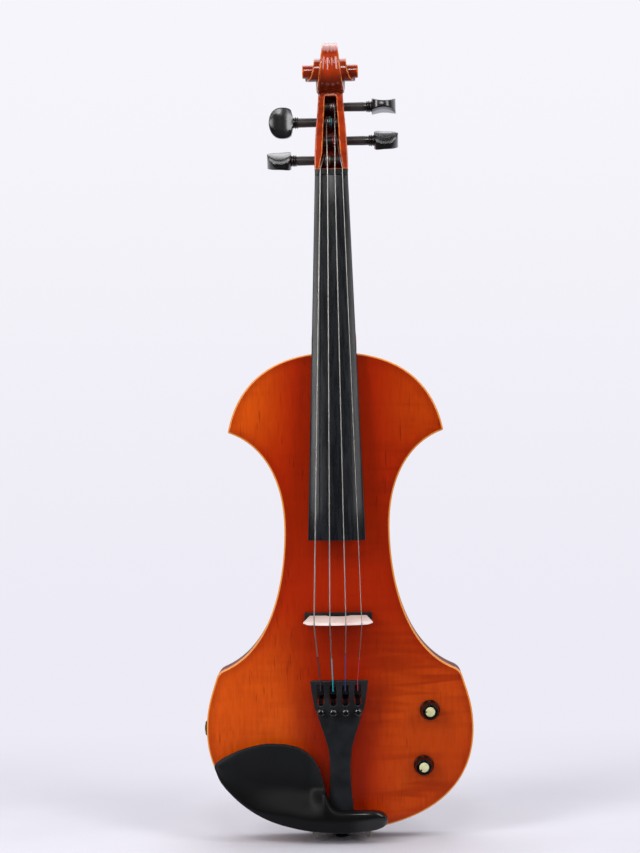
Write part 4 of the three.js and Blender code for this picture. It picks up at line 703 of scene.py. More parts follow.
class Wiring:
    """Short calls for the nodes of one shader tree."""

    def __init__(self, owner):
        owner.use_nodes = True
        self.tree = owner.node_tree
        self.tree.nodes.clear()

    def node(self, kind, inputs=None, **settings):
        return node(self.tree, kind, inputs, **settings)

    def math(self, operation, a, b=0.0, c=0.0):
        return self.node("ShaderNodeMath", {0: a, 1: b, 2: c}, operation=operation).outputs[0]

    def span(self, value, low, high, start=0.0, end=1.0):
        """Goes smoothly from start to end while the value goes from low to high."""
        inputs = {0: value, 1: low, 2: high, 3: start, 4: end}
        return self.node("ShaderNodeMapRange", inputs, interpolation_type="SMOOTHSTEP").outputs[0]

    def mix(self, share, a, b):
        a, b = (linear(color) if isinstance(color, str) else color for color in (a, b))
        return self.node("ShaderNodeMix", {0: share, 6: a, 7: b}, data_type="RGBA").outputs[2]

    def axis(self, name):
        return self.node("ShaderNodeSeparateXYZ", {0: self.place}).outputs[name]

    def shaders(self, share, a, b):
        return self.node("ShaderNodeMixShader", {0: share, 1: a, 2: b}).outputs[0]


class Shader(Wiring):
    """A material with short calls for what wood, metal and plastic need."""

    def __init__(self, name, roughness, specular=0.5, coat=0.0, coat_roughness=0.03, metallic=0.0):
        self.material = bpy.data.materials.new(name)
        super().__init__(self.material)
        self.skin = self.node("ShaderNodeBsdfPrincipled", {
            "Roughness": roughness, "Specular IOR Level": specular, "Coat Weight": coat,
            "Coat Roughness": coat_roughness, "Metallic": metallic})
        self.output = self.node("ShaderNodeOutputMaterial", {"Surface": self.skin.outputs[0]})
        self.place = self.node("ShaderNodeTexCoord").outputs["Object"]

    def link(self, socket, value):
        self.tree.links.new(value, self.skin.inputs[socket])

    def stretched(self, scale, turn=(0, 0, 0)):
        return self.node("ShaderNodeMapping", {0: self.place, "Scale": scale, "Rotation": turn}).outputs[0]

    def noise(self, scale, detail=3, rough=0.5, turn=(0, 0, 0), warp=0.0):
        inputs = {"Vector": self.stretched(scale, turn), "Scale": 1, "Detail": detail, "Roughness": rough,
                  "Distortion": warp}
        return self.node("ShaderNodeTexNoise", inputs).outputs[0]

    def noted(self, name):
        return self.node("ShaderNodeAttribute", attribute_name=name).outputs["Fac"]

    def bump(self, height, strength, distance):
        inputs = {"Height": height, "Strength": strength, "Distance": distance}
        self.link("Normal", self.node("ShaderNodeBump", inputs).outputs[0])


def varnished_top(body):
    """Glossy red-orange varnish over figured maple: bands of flame, fine pores, a golden worn edge, a
    sunburst, and painted shade over the treble side.
    """
    s = Shader("varnished_top", 0.24, specular=0.14, coat=0.2, coat_roughness=0.06)
    x, z = s.axis("X"), s.axis("Z")
    out = s.math("ABSOLUTE", x)
    treble = s.span(x, *TREBLE_X)
    drift = s.noise((9, 9, 11), 3, 0.5)

    lower = s.math("MULTIPLY", s.span(z, *GLOW_LOWER_Z), s.span(out, *GLOW_LOWER_X))
    upper = s.math("MULTIPLY", s.span(z, *GLOW_UPPER_Z), s.span(out, *GLOW_UPPER_X))
    glow = s.math("MAXIMUM", lower, upper)
    # Painted shade: the sunburst's lighter sides are dimmed over the treble side
    glow = s.math("MULTIPLY", glow, s.math("MULTIPLY_ADD", treble, -0.3, 1))
    glow = s.math("MULTIPLY", glow, s.span(drift, 0.3, 0.65, 0.7, 1.1))
    color = s.mix(glow, body.varnish, body.varnish_light)
    # The sunburst's darker middle strip, and painted shade over the treble side
    burst_and_treble_shade = s.math("MAXIMUM", s.span(out, *MIDDLE_SHADE_X, 0, 0.18), s.math("MULTIPLY", treble, 0.3))
    burst_and_treble_shade = s.math("MULTIPLY", burst_and_treble_shade, s.span(drift, 0.3, 0.7, 1.1, 0.7))
    color = s.mix(burst_and_treble_shade, color, body.varnish_deep)

    bands = s.noise((20, 20, 170), 1, 0.5, (0, math.radians(5), 0), 0.4)
    patches = s.noise((16, 16, 22), 2)
    rays = s.math("MULTIPLY", s.span(bands, 0.42, 0.68), s.span(patches, 0.3, 0.6))
    rays = s.math("MULTIPLY", rays, s.math("MULTIPLY_ADD", treble, 0.75, 0.25))
    color = s.mix(s.math("MULTIPLY", rays, 0.5), color, body.varnish_deep)
    silk = s.noise((420, 420, 60), 3, 0.65)
    color = s.mix(s.span(silk, 0.35, 0.7, 0, 0.2), color, body.varnish_deep)
    pores = s.noise((1500, 1500, 45), 1, 0.5)
    color = s.mix(s.span(pores, 0.66, 0.78, 0, 0.35), color, "#571002")
    flecks = s.noise((1000, 1000, 75), 0, 0.5)
    sparse = s.noise((35, 35, 22), 1)
    dashes = s.math("MULTIPLY", s.span(flecks, 0.75, 0.8), s.span(sparse, 0.53, 0.61))
    color = s.mix(s.math("MULTIPLY", dashes, 0.4), color, "#3a0b02")

    rim = s.noted("rim")
    color = s.mix(s.span(rim, *RIM_SHADE_REACH, 0.35, 0), color, body.varnish_deep)
    uneven = s.math("MULTIPLY_ADD", drift, EDGE_WAVE, rim)
    line = s.span(uneven, body.edge_line, body.edge_line * EDGE_FADE_SHARE, 1, 0)
    s.link("Base Color", s.mix(line, color, body.edge_gold))
    s.link("Roughness", s.span(drift, 0.3, 0.8, 0.22, 0.3))
    return s.material


def layered(name, roughness, base, *layers, shine=None, bump=None, **skin):
    """A finish of a base colour under layers of noise, each with its own range and tint.

    Shine and bump start with the number of the layer that they follow.
    """
    s = Shader(name, roughness, **skin)
    patterns = []
    for noise, tones, tint in layers:
        patterns.append(s.noise(*noise))
        base = s.mix(s.span(patterns[-1], *tones), base, tint)
    s.link("Base Color", base)
    if shine:
        layer, low, high, least, most = shine
        s.link("Roughness", s.span(patterns[layer], low, high, roughness * least, roughness * most))
    if bump:
        s.bump(patterns[bump[0]], *bump[1:])
    return s.material


def varnished_sides(name, body, gloss, stripes):
    """Dark red-brown varnish over flamed maple, duller on the ribs than on the back."""
    flame = (stripes, 2, 0.5, (0, math.radians(6), 0), 0.5)
    return layered(name, lerp(0.5, 0.3, gloss), body.sides, (flame, (0.3, 0.72), "#742409"),
                   (((700, 30, 700), 2, 0.6), (0.45, 0.8, 0, 0.4), "#24070a"),
                   bump=(1, 0.08, 0.0002), specular=lerp(0.08, 0.4, gloss))


def varnished_neck(neck):
    """Red-orange varnish on carved maple, thin and golden where the edges are handled, with shade painted in
    the hollow under the scroll.
    """
    s = Shader("varnished_neck", 0.3, specular=0.12, coat=0.9, coat_roughness=0.05)
    flame = s.noise((60, 60, 150), 2, 0.45, warp=0.4)
    grain = s.noise((800, 800, 30), 2, 0.6)
    cloud = s.noise((55, 55, 40), 3)
    color = s.mix(s.span(flame, 0.4, 0.66, 0, 0.7), neck.varnish, neck.varnish_deep)
    color = s.mix(s.span(cloud, 0.4, 0.7, 0, 0.45), color, "#3d0d03")
    color = s.mix(s.span(grain, 0.5, 0.8, 0, 0.25), color, neck.varnish_deep)
    z = s.axis("Z")
    # Painted shade in the hollow under the scroll's eye
    top, low_edge, bottom = (along_head(EYE_SHARE) - SCROLL_RADIUS * share for share in HOLLOW_SHADE_SHARES)
    hollow_shade = s.math("MULTIPLY", s.span(z, along_head(EYE_SHARE), top), s.span(z, bottom, low_edge))
    color = s.mix(s.math("MULTIPLY", hollow_shade, 0.75), color, "#3d0d03")
    worn = s.span(s.math("MULTIPLY", s.noted("worn"), s.span(cloud, 0.25, 0.6, 0.7, 1.1)), 0.3, 0.85)
    s.link("Base Color", s.mix(worn, color, neck.worn))
    s.link("Roughness", s.span(z, *NECK_GLOSS_Z, 0.42, 0.22))
    s.bump(grain, 0.06, 0.0002)
    return s.material


def black_wood(name, color, streak, roughness, grain):
    """Dense black hardwood: long dark grain under an oiled or polished skin."""
    return layered(name, roughness, color, ((grain, 4, 0.65), (0.35, 0.75), streak),
                   (((20, 20, 6), 2), (0.3, 0.7, 0, 0.35), color),
                   shine=(0, 0.3, 0.8, 0.85, 1.25), bump=(0, 0.12, 0.0002), specular=0.3)


def peg_wood():
    """Blackened hardwood: a polished thumb piece, and a shaft left brown and dull where it turns."""
    s = Shader("peg_wood", 0.3, coat_roughness=0.2)
    thumb = s.span(s.math("ABSOLUTE", s.axis("X")), *(COLLAR_X + reach for reach in PEG_POLISH_REACHES))
    grain = s.noise((60, 700, 700), 4, 0.65)
    streaks = s.span(grain, 0.35, 0.75)
    shaft = s.mix(streaks, "#231b1a", "#3a2f2d")
    polished = s.mix(streaks, "#0b0b0d", "#17171a")
    s.link("Base Color", s.mix(thumb, shaft, polished))
    s.link("Roughness", s.span(thumb, 0, 1, 0.45, 0.26))
    s.link("Coat Weight", s.math("MULTIPLY", thumb, 0.6))
    s.bump(grain, 0.1, 0.0002)
    return s.material


def chinrest_black():
    """Moulded composite, painted lighter grey high on the dish as painted light, polished dark on the arm."""
    s = Shader("chinrest_black", 0.45, specular=0.15, coat_roughness=0.08)
    marks = s.noise((45, 45, 60), 4, 0.6)
    # Painted light: lighter grey towards the top of the rest, with a wavering edge
    painted_light_high = s.span(s.math("MULTIPLY_ADD", marks, REST_PAINTED_LIGHT_WAVE, s.axis("Z")), *REST_PAINTED_LIGHT_Z)
    arm = s.span(s.axis("X"), *REST_POLISHED_X)
    s.link("Base Color", s.mix(painted_light_high, "#050506", "#131416"))
    s.link("Roughness", s.span(marks, 0.3, 0.75, 0.42, 0.5))
    s.link("Coat Weight", s.math("MULTIPLY", arm, 0.6))
    return s.material


def moulded_black(name, color, roughness, mottle):
    """Moulded black composite with a faint mould texture and handling marks."""
    s = Shader(name, roughness, specular=0.35)
    marks = s.noise((45, 45, 60), 4, 0.6)
    s.link("Base Color", s.mix(s.span(marks, 0.35, 0.7), color, mottle))
    s.link("Roughness", s.span(marks, 0.3, 0.75, roughness * 0.8, roughness * 1.3))
    s.bump(s.noise((1800,) * 3, 2, 0.6), 0.14, 0.0001)
    return s.material


def bridge_maple():
    """Unvarnished maple, pale and faintly pink, with short darker flecks along its grain."""
    return layered("maple", 0.55, "#eee0da", (((60,) * 3, 2), (0.3, 0.7), "#e0ccc3"),
                   (((160, 300, 900), 3, 0.6), (0.55, 0.72, 0, 0.4), "#bd9c8a"), bump=(1, 0.12, 0.0002))


def cork():
    """Pressed cork, grainy brown."""
    s = Shader("cork", 0.85)
    grains = s.node("ShaderNodeTexVoronoi", {"Vector": s.stretched((900,) * 3), "Scale": 1})
    cells = grains.outputs["Distance"]
    s.link("Base Color", s.mix(s.span(cells, 0.1, 0.8), "#5d3a1e", "#b98a57"))
    s.bump(cells, 0.4, 0.0003)
    return s.material


def gloss_black(name, roughness, specular, coat):
    """Polished black lacquer, with dust-fine haze in its shine."""
    return layered(name, roughness, "#060607", (((260,) * 3, 4, 0.6), (0.4, 0.8), "#111114"),
                   shine=(0, 0.3, 0.8, 0.7, 1.5), specular=specular, coat=coat)


def metal(name, color, dark, roughness, scale):
    """Plated metal with fine wear and slightly uneven shine."""
    return layered(name, roughness, color, (((scale,) * 3, 4, 0.6), (0.35, 0.75), dark),
                   shine=(0, 0.3, 0.8, 0.8, 1.6), bump=(0, 0.05, 0.0001), metallic=1)


def bare_spruce():
    """Bare spruce blocks with straight growth lines."""
    return layered("bare_spruce", 0.7, "#d8b988", (((420, 60, 10), 2), (0.35, 0.7), "#b08650"),
                   bump=(0, 0.2, 0.0003))


def cream_plastic():
    """Aged cream plastic of a knob's cap."""
    return layered("cream", 0.35, "#cdcba0", (((300,) * 3,), (0.35, 0.7), "#b8b480"),
                   bump=(0, 0.05, 0.0001), coat=0.3, coat_roughness=0.15)


def insulated_lead():
    """Dark red insulation of the inner leads."""
    return layered("lead", 0.5, "#7d1414", (((200,) * 3,), (0.35, 0.7), "#560d0e"))


def string_finish(index):
    """Ribbon-wound steel with a run of coloured silk at the tail and on the peg."""
    s = Shader(f"string_{STRING_NAMES[index]}", 0.3, metallic=1)
    z = s.axis("Z")
    tail_silk = s.math("LESS_THAN", z, SILK_ENDS[index])
    pitch = STRING_DIAMETERS[index] + WINDING_CLEAR
    turns = PEG_SILK_TURNS[index]
    middle = winding_start(index) - PEG_SIDES[index] * pitch * (WINDING_TURNS - turns) / 2
    on_peg = s.math("GREATER_THAN", z, peg_place(index).z - PEG_SILK_REACH)
    first_turns = s.math("COMPARE", s.axis("X"), middle, pitch * turns / 2)
    silk = s.math("MAXIMUM", tail_silk, s.math("MULTIPLY", on_peg, first_turns))
    rings = s.node("ShaderNodeTexWave", {"Vector": s.place, "Scale": 700, "Distortion": 0.4},
                   bands_direction="Z").outputs[0]
    steel = s.mix(s.span(rings, 0.2, 0.9), "#8d8985", "#d6d2cc")
    wrapping = s.mix(s.span(rings, 0.1, 0.6, 0.35, 0), SILK_COLORS[index], "#101114")
    s.link("Base Color", s.mix(silk, steel, wrapping))
    s.link("Metallic", s.math("SUBTRACT", 1, silk))
    s.link("Roughness", s.span(silk, 0, 1, 0.32, 0.75))
    s.bump(rings, 0.25, 0.0001)
    return s.material


# Settings in the panel

def color_setting(name, purpose, code):
    return bpy.props.FloatVectorProperty(
        name=name, description=purpose, subtype="COLOR", size=4, min=0, max=1, default=linear(code))


def length_setting(name, purpose, length, least, most):
    return bpy.props.FloatProperty(
        name=name, description=purpose, subtype="DISTANCE", default=length, min=least, max=most)


def power_setting(name, purpose, power):
    return bpy.props.FloatProperty(name=name, description=purpose, subtype="POWER", default=power, min=0)


# Body

def bezier(anchors, steps):
    share = np.linspace(0, 1, steps + 1)[:, None]
    a, b, c, d = [np.array(p, float) for p in anchors]
    return (1 - share)**3 * a + 3 * (1 - share)**2 * share * b + 3 * (1 - share) * share**2 * c + share**3 * d


def side_outline(inset):
    """The treble side of the body's outline, from the neck to the end button, moved inwards."""
    def height(share):
        return FOOT + BODY_LENGTH * share

    anchors = [(0, HEAD), (TIP_HALF, height(TIP_SHARE)), (WAIST_HALF, height(WAIST_SHARE)),
               (CORNER_HALF, height(CORNER_SHARE)), (LOWER_HALF, height(WIDEST_SHARE)), (0, FOOT)]
    tip = TIP_ROUND + inset * TIP_ROUND_GAIN
    corner = CORNER_ROUND + inset * CORNER_ROUND_GAIN
    trims = [(0, tip), (tip, 0), (0, corner), (corner, 0), (0, 0)]
    runs = []
    for i, (ax, az, bx, bz) in enumerate(OUTLINE_HANDLE_SHARES):
        (x0, z0), (x1, z1) = anchors[i], anchors[i + 1]
        handles = [(lerp(x0, x1, ax), lerp(z0, z1, az)), (lerp(x0, x1, bx), lerp(z0, z1, bz))]
        line = bezier([anchors[i], *handles, anchors[i + 1]], CURVE_STEPS)
        along = np.concatenate([[0], np.cumsum(np.linalg.norm(np.diff(line, axis=0), axis=1))])
        start, end = trims[i][0], along[-1] - trims[i][1]
        count = int(along[-1] / OUTLINE_STEP)
        places = np.linspace(start, end, count + 1)
        point = np.stack([np.interp(places, along, line[:, k]) for k in (0, 1)], 1)
        slope = np.gradient(line, along, axis=0)
        tangent = np.stack([np.interp(places, along, slope[:, k]) for k in (0, 1)], 1)
        tangent /= np.linalg.norm(tangent, axis=1)[:, None]
        point = point + np.stack([tangent[:, 1], -tangent[:, 0]], 1) * inset
        runs.append((point, tangent))
    side = list(runs[0][0])
    for i in range(1, len(runs)):
        (before, before_slope), (after, after_slope) = runs[i - 1], runs[i]
        if trims[i - 1][1] > 0:
            gap = after[0] - before[-1]
            turn = before_slope[-1][0] * after_slope[0][1] - before_slope[-1][1] * after_slope[0][0]
            reach = (gap[0] * after_slope[0][1] - gap[1] * after_slope[0][0]) / turn
            peak = before[-1] + before_slope[-1] * reach
            for k in range(1, CORNER_STEPS):
                t = k / CORNER_STEPS
                side.append((1 - t)**2 * before[-1] + 2 * (1 - t) * t * peak + t**2 * after[0])
            side.append(after[0])
        side += list(after[1:])
    side[0][0] = side[-1][0] = 0
    return np.array(side)


def whole_outline(side):
    left = side[1:-1][::-1] * [-1, 1]
    return np.concatenate([side, left])


def plate_piece(name, outside, inside):
    """One plate with rounded edges, and rows of points across its outer face."""
    facing = math.copysign(1, outside - inside)
    levels = [(0, inside)]
    levels += [(EDGE_ROUND * (1 - far), outside - facing * EDGE_ROUND * (1 - near))
               for near, far in arc(EDGE_STEPS, math.pi / 2)]
    points, faces = [], []
    for inset, y in levels:
        points += [np.array([x, y, z]) for x, z in whole_outline(side_outline(inset))]
    sides = len(points) // len(levels)
    for i in range(len(levels) - 1):
        faces += band(i * sides, (i + 1) * sides, sides)
    faces.append(tuple(range(sides)))
    last = (len(levels) - 1) * sides
    half = sides // 2
    rows = [[last]]
    for i in range(1, half):
        right = points[last + i]
        scale = min(1, right[0] / NARROW_HALF)
        xs = [right[0] - reach * scale for reach in PLATE_ROWS]
        centre = [xs[-1] * share for share in PLATE_MIDDLE_SHARES]
        row = [last + i]
        for x in xs + centre + [-x for x in reversed(xs)]:
            row.append(len(points))
            points.append(np.array([x, outside, right[2]]))
        row.append(last + sides - i)
        rows.append(row)
    rows.append([last + half])
    for a, b in zip(rows, rows[1:]):
        if len(a) == 1:
            faces += [(a[0], b[k], b[k + 1]) for k in range(len(b) - 1)]
        elif len(b) == 1:
            faces += [(a[k], b[0], a[k + 1]) for k in range(len(a) - 1)]
        else:
            faces += [(a[k], b[k], b[k + 1], a[k + 1]) for k in range(len(a) - 1)]
    return shade(new_piece(name, points, faces), PLATE_SHARP_ANGLE)


def note_rim(piece):
    """Notes how far each point lies from the body's outline."""
    outline = whole_outline(side_outline(0))
    points = gathered(piece.data.vertices, "co", 3)[:, (0, 2)]
    nearest = np.full(len(points), np.inf)
    starts, ends = outline, np.roll(outline, -1, axis=0)
    for start, end in zip(starts, ends):
        run = end - start
        share = np.clip(((points - start) @ run) / (run @ run + NOT_ZERO), 0, 1)
        nearest = np.minimum(nearest, np.linalg.norm(points - start - share[:, None] * run, axis=1))
    note(piece, "rim", nearest)


class BodySettings(bpy.types.PropertyGroup):
    """Finish of the body."""

    varnish: color_setting("Varnish", "Colour of the top", "#9f2302")
    varnish_light: color_setting("Light varnish", "Where the varnish is rubbed thin", "#c74d0a")
    # Also the colour of the painted shade over the treble side of the top
    varnish_deep: color_setting("Deep varnish", "Where the varnish lies thick", "#761602")
    edge_gold: color_setting("Edge", "Bare wood under clear varnish at the edge", "#d98a33")
    sides: color_setting("Sides", "Colour of the back and sides", "#551509")
    edge_line: length_setting("Edge line", "Width of the golden line at the top's edge", 0.001, 0.0005, 0.004)


class BuildBody(bpy.types.Operator):
    """Make the top, the back and the sides"""

    bl_idname = "violin.build_body"
    bl_label = "Body"

    def execute(self, context):
        settings = context.scene.violin_body
        top = plate_piece("belly", FRONT, INNER_FRONT)
        note_rim(top)
        finished(top, "violin", "varnished_top", "top_plate", material=varnished_top(settings))
        back = plate_piece("back_panel", BACK, INNER_BACK)
        finished(back, "violin", "varnished_sides", "back_plate",
                 material=varnished_sides("varnished_back", settings, 1, (13, 13, 150)))
        outer, inner = (whole_outline(side_outline(inset)) for inset in (0, RIB_WALL))
        loops = [[(x, y, z) for x, z in outline] for outline, y in (
            (outer, INNER_FRONT), (outer, INNER_BACK), (inner, INNER_BACK), (inner, INNER_FRONT))]
        wall = loft("side_wall", loops, loop=True)
        _, y, z = middle_of("output_jack")
        carve(wall, rod("bore", -OVERRUN, OVERRUN, JACK_BORE / 2, (-LOWER_HALF, y, z), "x", 48))
        finished(wall, "violin", "varnished_sides", "ribs",
                 material=varnished_sides("varnished_ribs", settings, 0, (150, 10, 150)))
        return {"FINISHED"}


# Neck and scroll

def surface_height(z):
    """Height of the fingerboard's middle line over the top."""
    return FRONT - BOARD_LOW.y - (z - BOARD_END_Z) * BOARD_SLOPE


def board_half(z):
    return lerp(BOARD_END_HALF, NUT_HALF, (z - BOARD_END_Z) / (NUT_Z - BOARD_END_Z))


def crown(radius, x):
    """How far a round surface has fallen at a distance from its middle."""
    return radius - math.sqrt(radius * radius - x * x)


def under_height(z):
    """Height of the fingerboard's straight underside over the top."""
    def bottom(level):
        return surface_height(level) - crown(BOARD_RADIUS, board_half(level)) - BOARD_EDGE
    return lerp(bottom(BOARD_END_Z), bottom(NUT_Z), (z - BOARD_END_Z) / (NUT_Z - BOARD_END_Z))


def along_head(share):
    return HEAD_Z + HEAD_LENGTH * share


def spiral_radius(degrees):
    """Radius of the scroll's spiral at an angle round it."""
    place = min(max(degrees, SPIRAL_SHARES[0][0]), SPIRAL_SHARES[-1][0])
    return SCROLL_RADIUS * flow_at(SPIRAL_SHARES, place)


def band_half(degrees):
    """Half the width of the spiral's band at an angle round it."""
    place = min(max(degrees, 0), BAND_SHARES[-1][0])
    return flow_at(BAND_SHARES, place) * SCROLL_WIDTH / 2


def spiral_point(degrees, radius=None):
    reach = spiral_radius(degrees) if radius is None else radius
    angle = math.radians(degrees)
    return EYE_Y + reach * math.cos(angle), along_head(EYE_SHARE) + reach * math.sin(angle)


def flute(share):
    """Depth of the two hollows down the spine, as a share of their deepest."""
    k = max(i for i, (place, _) in enumerate(FLUTE_SHARES[:-1]) if place <= share)
    (start, before), (end, after) = FLUTE_SHARES[k:k + 2]
    return lerp(before, after, (1 - math.cos(math.pi * (share - start) / (end - start))) / 2)


def spine_ring(front, back, front_half, half, crown_height=0.0):
    """Section of the head: a crowned front edge, and a back edge with two flutes."""
    (fy, fz), (by, bz) = front, back
    reach = math.hypot(by - fy, bz - fz)
    ring = []
    for share in reversed(across(CHEEK_STEPS)):
        ring.append((front_half * share, fy - crown_height * (1 - share * share), fz))
    for share in across(SPINE_STEPS):
        pull = FLUTE_DEPTH * flute(share) / reach
        ring.append((half * share, lerp(by, fy, pull), lerp(bz, fz, pull)))
    return ring


def pegbox_shell():
    """The pegbox from the nut upwards, and the throat that leads its back into the scroll."""
    rings = []
    for along, front, back, width in flow_rows(PEGBOX_SHARES, PEGBOX_STEPS):
        z = along_head(along)
        half = PEGBOX_WIDTH * width / 2
        rings.append(spine_ring((HEAD_DEPTH * front, z), (HEAD_DEPTH * back, z), half, half, CHEEK_CROWN))
    core = SCROLL_CORE_SHARES[0] * SCROLL_WIDTH / 2
    last_along, last_front, _, last_width = PEGBOX_SHARES[-1]
    last_half = PEGBOX_WIDTH * last_width / 2
    for degrees, away, pull, keep in flow_rows(THROAT_SHARES, THROAT_STEPS):
        front = (lerp(EYE_Y, HEAD_DEPTH * last_front, away),
                 lerp(along_head(EYE_SHARE), along_head(last_along), away))
        back = spiral_point(degrees, spiral_radius(degrees) * pull)
        half = lerp(band_half(max(degrees, 0)), last_half, keep)
        rings.append(spine_ring(front, back, lerp(core, half, math.sqrt(max(keep, 0))), half))
    return loft("pegbox_shell", rings)


def trough_tool():
    """What the pegbox is hollowed with."""
    rings = []
    for along, floor, width in flow_rows(TROUGH_SHARES, TROUGH_STEPS):
        z = along_head(along)
        half = PEGBOX_WIDTH * width / 2
        rings.append([(-half, -HEAD_DEPTH, z), (half, -HEAD_DEPTH, z),
                      (half, HEAD_DEPTH * floor, z), (-half, HEAD_DEPTH * floor, z)])
    return loft("trough_tool", rings)


def scroll_turn(index):
    """One turn of the scroll, a snail-shaped disc whose band grows wider as it winds in."""
    start = SCROLL_START + 360 * index
    core = SCROLL_CORE_SHARES[index] * SCROLL_WIDTH / 2
    eye = along_head(EYE_SHARE)
    rings = []
    for k in range(SCROLL_STEPS + 1):
        degrees = start + SCROLL_SPAN * k / SCROLL_STEPS
        half = band_half(degrees)
        y, z = spiral_point(degrees)
        if index == 0:
            rings.append(spine_ring((EYE_Y, eye), (y, z), core, half))
        else:
            rings.append([(core, EYE_Y, eye), (-core, EYE_Y, eye), (-half, y, z), (half, y, z)])
    return loft(f"scroll_turn_{index}", rings)


def neck_shaft():
    """The neck under the fingerboard, round at the back."""
    rings = []
    for k in range(NECK_STEPS + 1):
        z = lerp(HEAD + GAP, HEAD_Z, k / NECK_STEPS)
        half = board_half(min(z, NUT_Z))
        front = FRONT - under_height(z)
        back = FRONT - surface_height(z) + lerp(NECK_THICK_HEEL, NECK_THICK_NUT, k / NECK_STEPS)
        lip = lerp(front, back, NECK_LIP_SHARE)
        rings.append([(-half, front, z), (half, front, z)] + [
            (half * wide, lerp(lip, back, deep ** NECK_ROUND_POWER), z)
            for deep, wide in arc(NECK_SIDES, math.pi)])
    return loft("neck_shaft", rings)


def heel_shell():
    """The heel, from the fingerboard to the back's button."""
    front, foot = FRONT - under_height(HEAD), HEAD + GAP
    rings = []
    for share, width, length in flow_rows(HEEL_SHARES, HEEL_STEPS):
        y = lerp(front, BACK, share)
        half = max(HEEL_WIDTH * width, BUTTON_WIDTH) / 2
        rings.append([(-half, y, foot), (half, y, foot)] + [
            (half * wide, y, foot + HEEL_LENGTH * length * out ** HEEL_ROUND_POWER)
            for out, wide in arc(NECK_SIDES, math.pi)])
    return loft("heel_shell", rings)


def peg_place(index):
    return Vector((0, HEAD_DEPTH * PEG_DEPTH_SHARES[index], along_head(PEG_ALONG_SHARES[index])))


class NeckSettings(bpy.types.PropertyGroup):
    """Finish and carving of the neck."""

    varnish: color_setting("Varnish", "Colour of the neck and scroll", "#a63209")
    varnish_deep: color_setting("Deep varnish", "Darker figure of the maple", "#6a1703")
    worn: color_setting("Worn edges", "Where the varnish is worn thin", "#d8721c")
    grain: length_setting("Carving step", "Size of the smallest carved detail", 0.0006, 0.0003, 0.002)


class BuildNeck(bpy.types.Operator):
    """Carve the neck, the pegbox and the scroll"""

    bl_idname = "violin.build_neck"
    bl_label = "Neck and scroll"

    def execute(self, context):
        settings = context.scene.violin_neck
        bores = [rod(f"bore_{name}", -PEGBOX_WIDTH, PEGBOX_WIDTH, PEG_SHAFT / 2 + GAP, peg_place(i), "x", 32)
                 for i, name in enumerate(STRING_NAMES)]
        head = carve(pegbox_shell(), trough_tool(), *bores)
        turns = [scroll_turn(index) for index in range(len(SCROLL_CORE_SHARES))]
        neck = merged("carved_neck", head, *turns, neck_shaft(), heel_shell())
        carved_by_hand(neck, settings.grain, NECK_PASSES)
        note_worn_edges(neck)
        finished(neck, "violin", "varnished_neck", "neck", material=varnished_neck(settings))
        return {"FINISHED"}


# Fingerboard and nut

def crowned_ring(z, half, rise=0.0):
    """Section of the fingerboard or the nut: a flat underside and a round top."""
    under, top = FRONT - under_height(z), FRONT - (surface_height(z) + rise)
    ring = [(half, under, z), (-half, under, z)]
    for x in (half * share for share in across(BOARD_SIDES)):
        ring.append((x, top + crown(BOARD_RADIUS, x), z))
    return ring


def string_grooves(support, low, high, clear):
    """What the grooves for the strings are cut with, in the nut or in the bridge."""
    return [rod(f"groove_{name}", low, high, STRING_DIAMETERS[i] / 2 + clear,
                (*string_places(i)[support], 0), "z", GROOVE_SIDES)
            for i, name in enumerate(STRING_NAMES)]


class BuildFingerboard(bpy.types.Operator):
    """Make the fingerboard and the nut"""

    bl_idname = "violin.build_fingerboard"
    bl_label = "Fingerboard and nut"

    def execute(self, context):
        board = loft("black_board", [
            crowned_ring(z, board_half(z)) for z in np.linspace(BOARD_END_Z, NUT_Z, BOARD_ROWS)])
        eased_edges(board, BOARD_ROUND)
        wood = black_wood("ebony", "#101215", "#1d2024", 0.28, (420, 420, 14))
        finished(board, "violin", "ebony", "fingerboard", material=wood)
        nut = loft("top_nut", [
            crowned_ring(z, NUT_HALF, NUT_RISE) for z in np.linspace(NUT_LOW.z, NUT_HIGH.z, NUT_ROWS)])
        carve(nut, *string_grooves("nut", NUT_Z - OVERRUN, HEAD_Z + OVERRUN, GAP))
        finished(nut, "violin", "ebony", "nut", material=wood)
        return {"FINISHED"}


# Pegs

def thumb_half(share):
    """Half the width of the thumb piece, as a share of its widest, at a share of its length."""
    points = [(0, THUMB_START_SHARE)]
    for a, b, c, d, e, f in THUMB_CURVE_SHARES:
        points += [(a, b), (c, d), (e, f)]
    line = np.concatenate([
        bezier(points[0:4], THUMB_CURVE_STEPS), bezier(points[3:7], THUMB_CURVE_STEPS)[1:]])
    return float(np.interp(share, line[:, 0], line[:, 1]))


def thumb_piece(name):
    """Dished thumb piece of a peg along X, wide along Z and thin along Y, from its neck outwards."""
    rings = []
    for _, share in reversed(arc(THUMB_STEPS, math.pi / 2)):
        half = max(THUMB_WIDTH / 2 * thumb_half(min(share, THUMB_LAST_SHARE)), THUMB_LEAST_HALF)
        thin = lerp(THUMB_THICK, THUMB_WAIST, 1 - (2 * share - 1) ** 2) / 2
        rim = thin * THUMB_RIM_SHARE
        r = min(THUMB_ROUND, half * THUMB_ROUND_MOST, rim * THUMB_ROUND_MOST)
        ring = []
        for side in (1, -1):
            for step in range(THUMB_FACE_STEPS):
                u = side * (2 * step / THUMB_FACE_STEPS - 1)
                ring.append((side * lerp(thin, rim, u ** THUMB_RIM_POWER), u * (half - r)))
            for centre, start, last in ((rim - r, 0, 0), (r - rim, 90, 1)):
                for step in range(THUMB_EDGE_STEPS + last):
                    angle = math.radians(start + 90 * step / THUMB_EDGE_STEPS)
                    ring.append((side * (centre + r * math.cos(angle)),
                                 side * (half - r + r * math.sin(angle))))
        rings.append([(share * THUMB_LENGTH, y, z) for y, z in ring])
    return loft(name, rings)


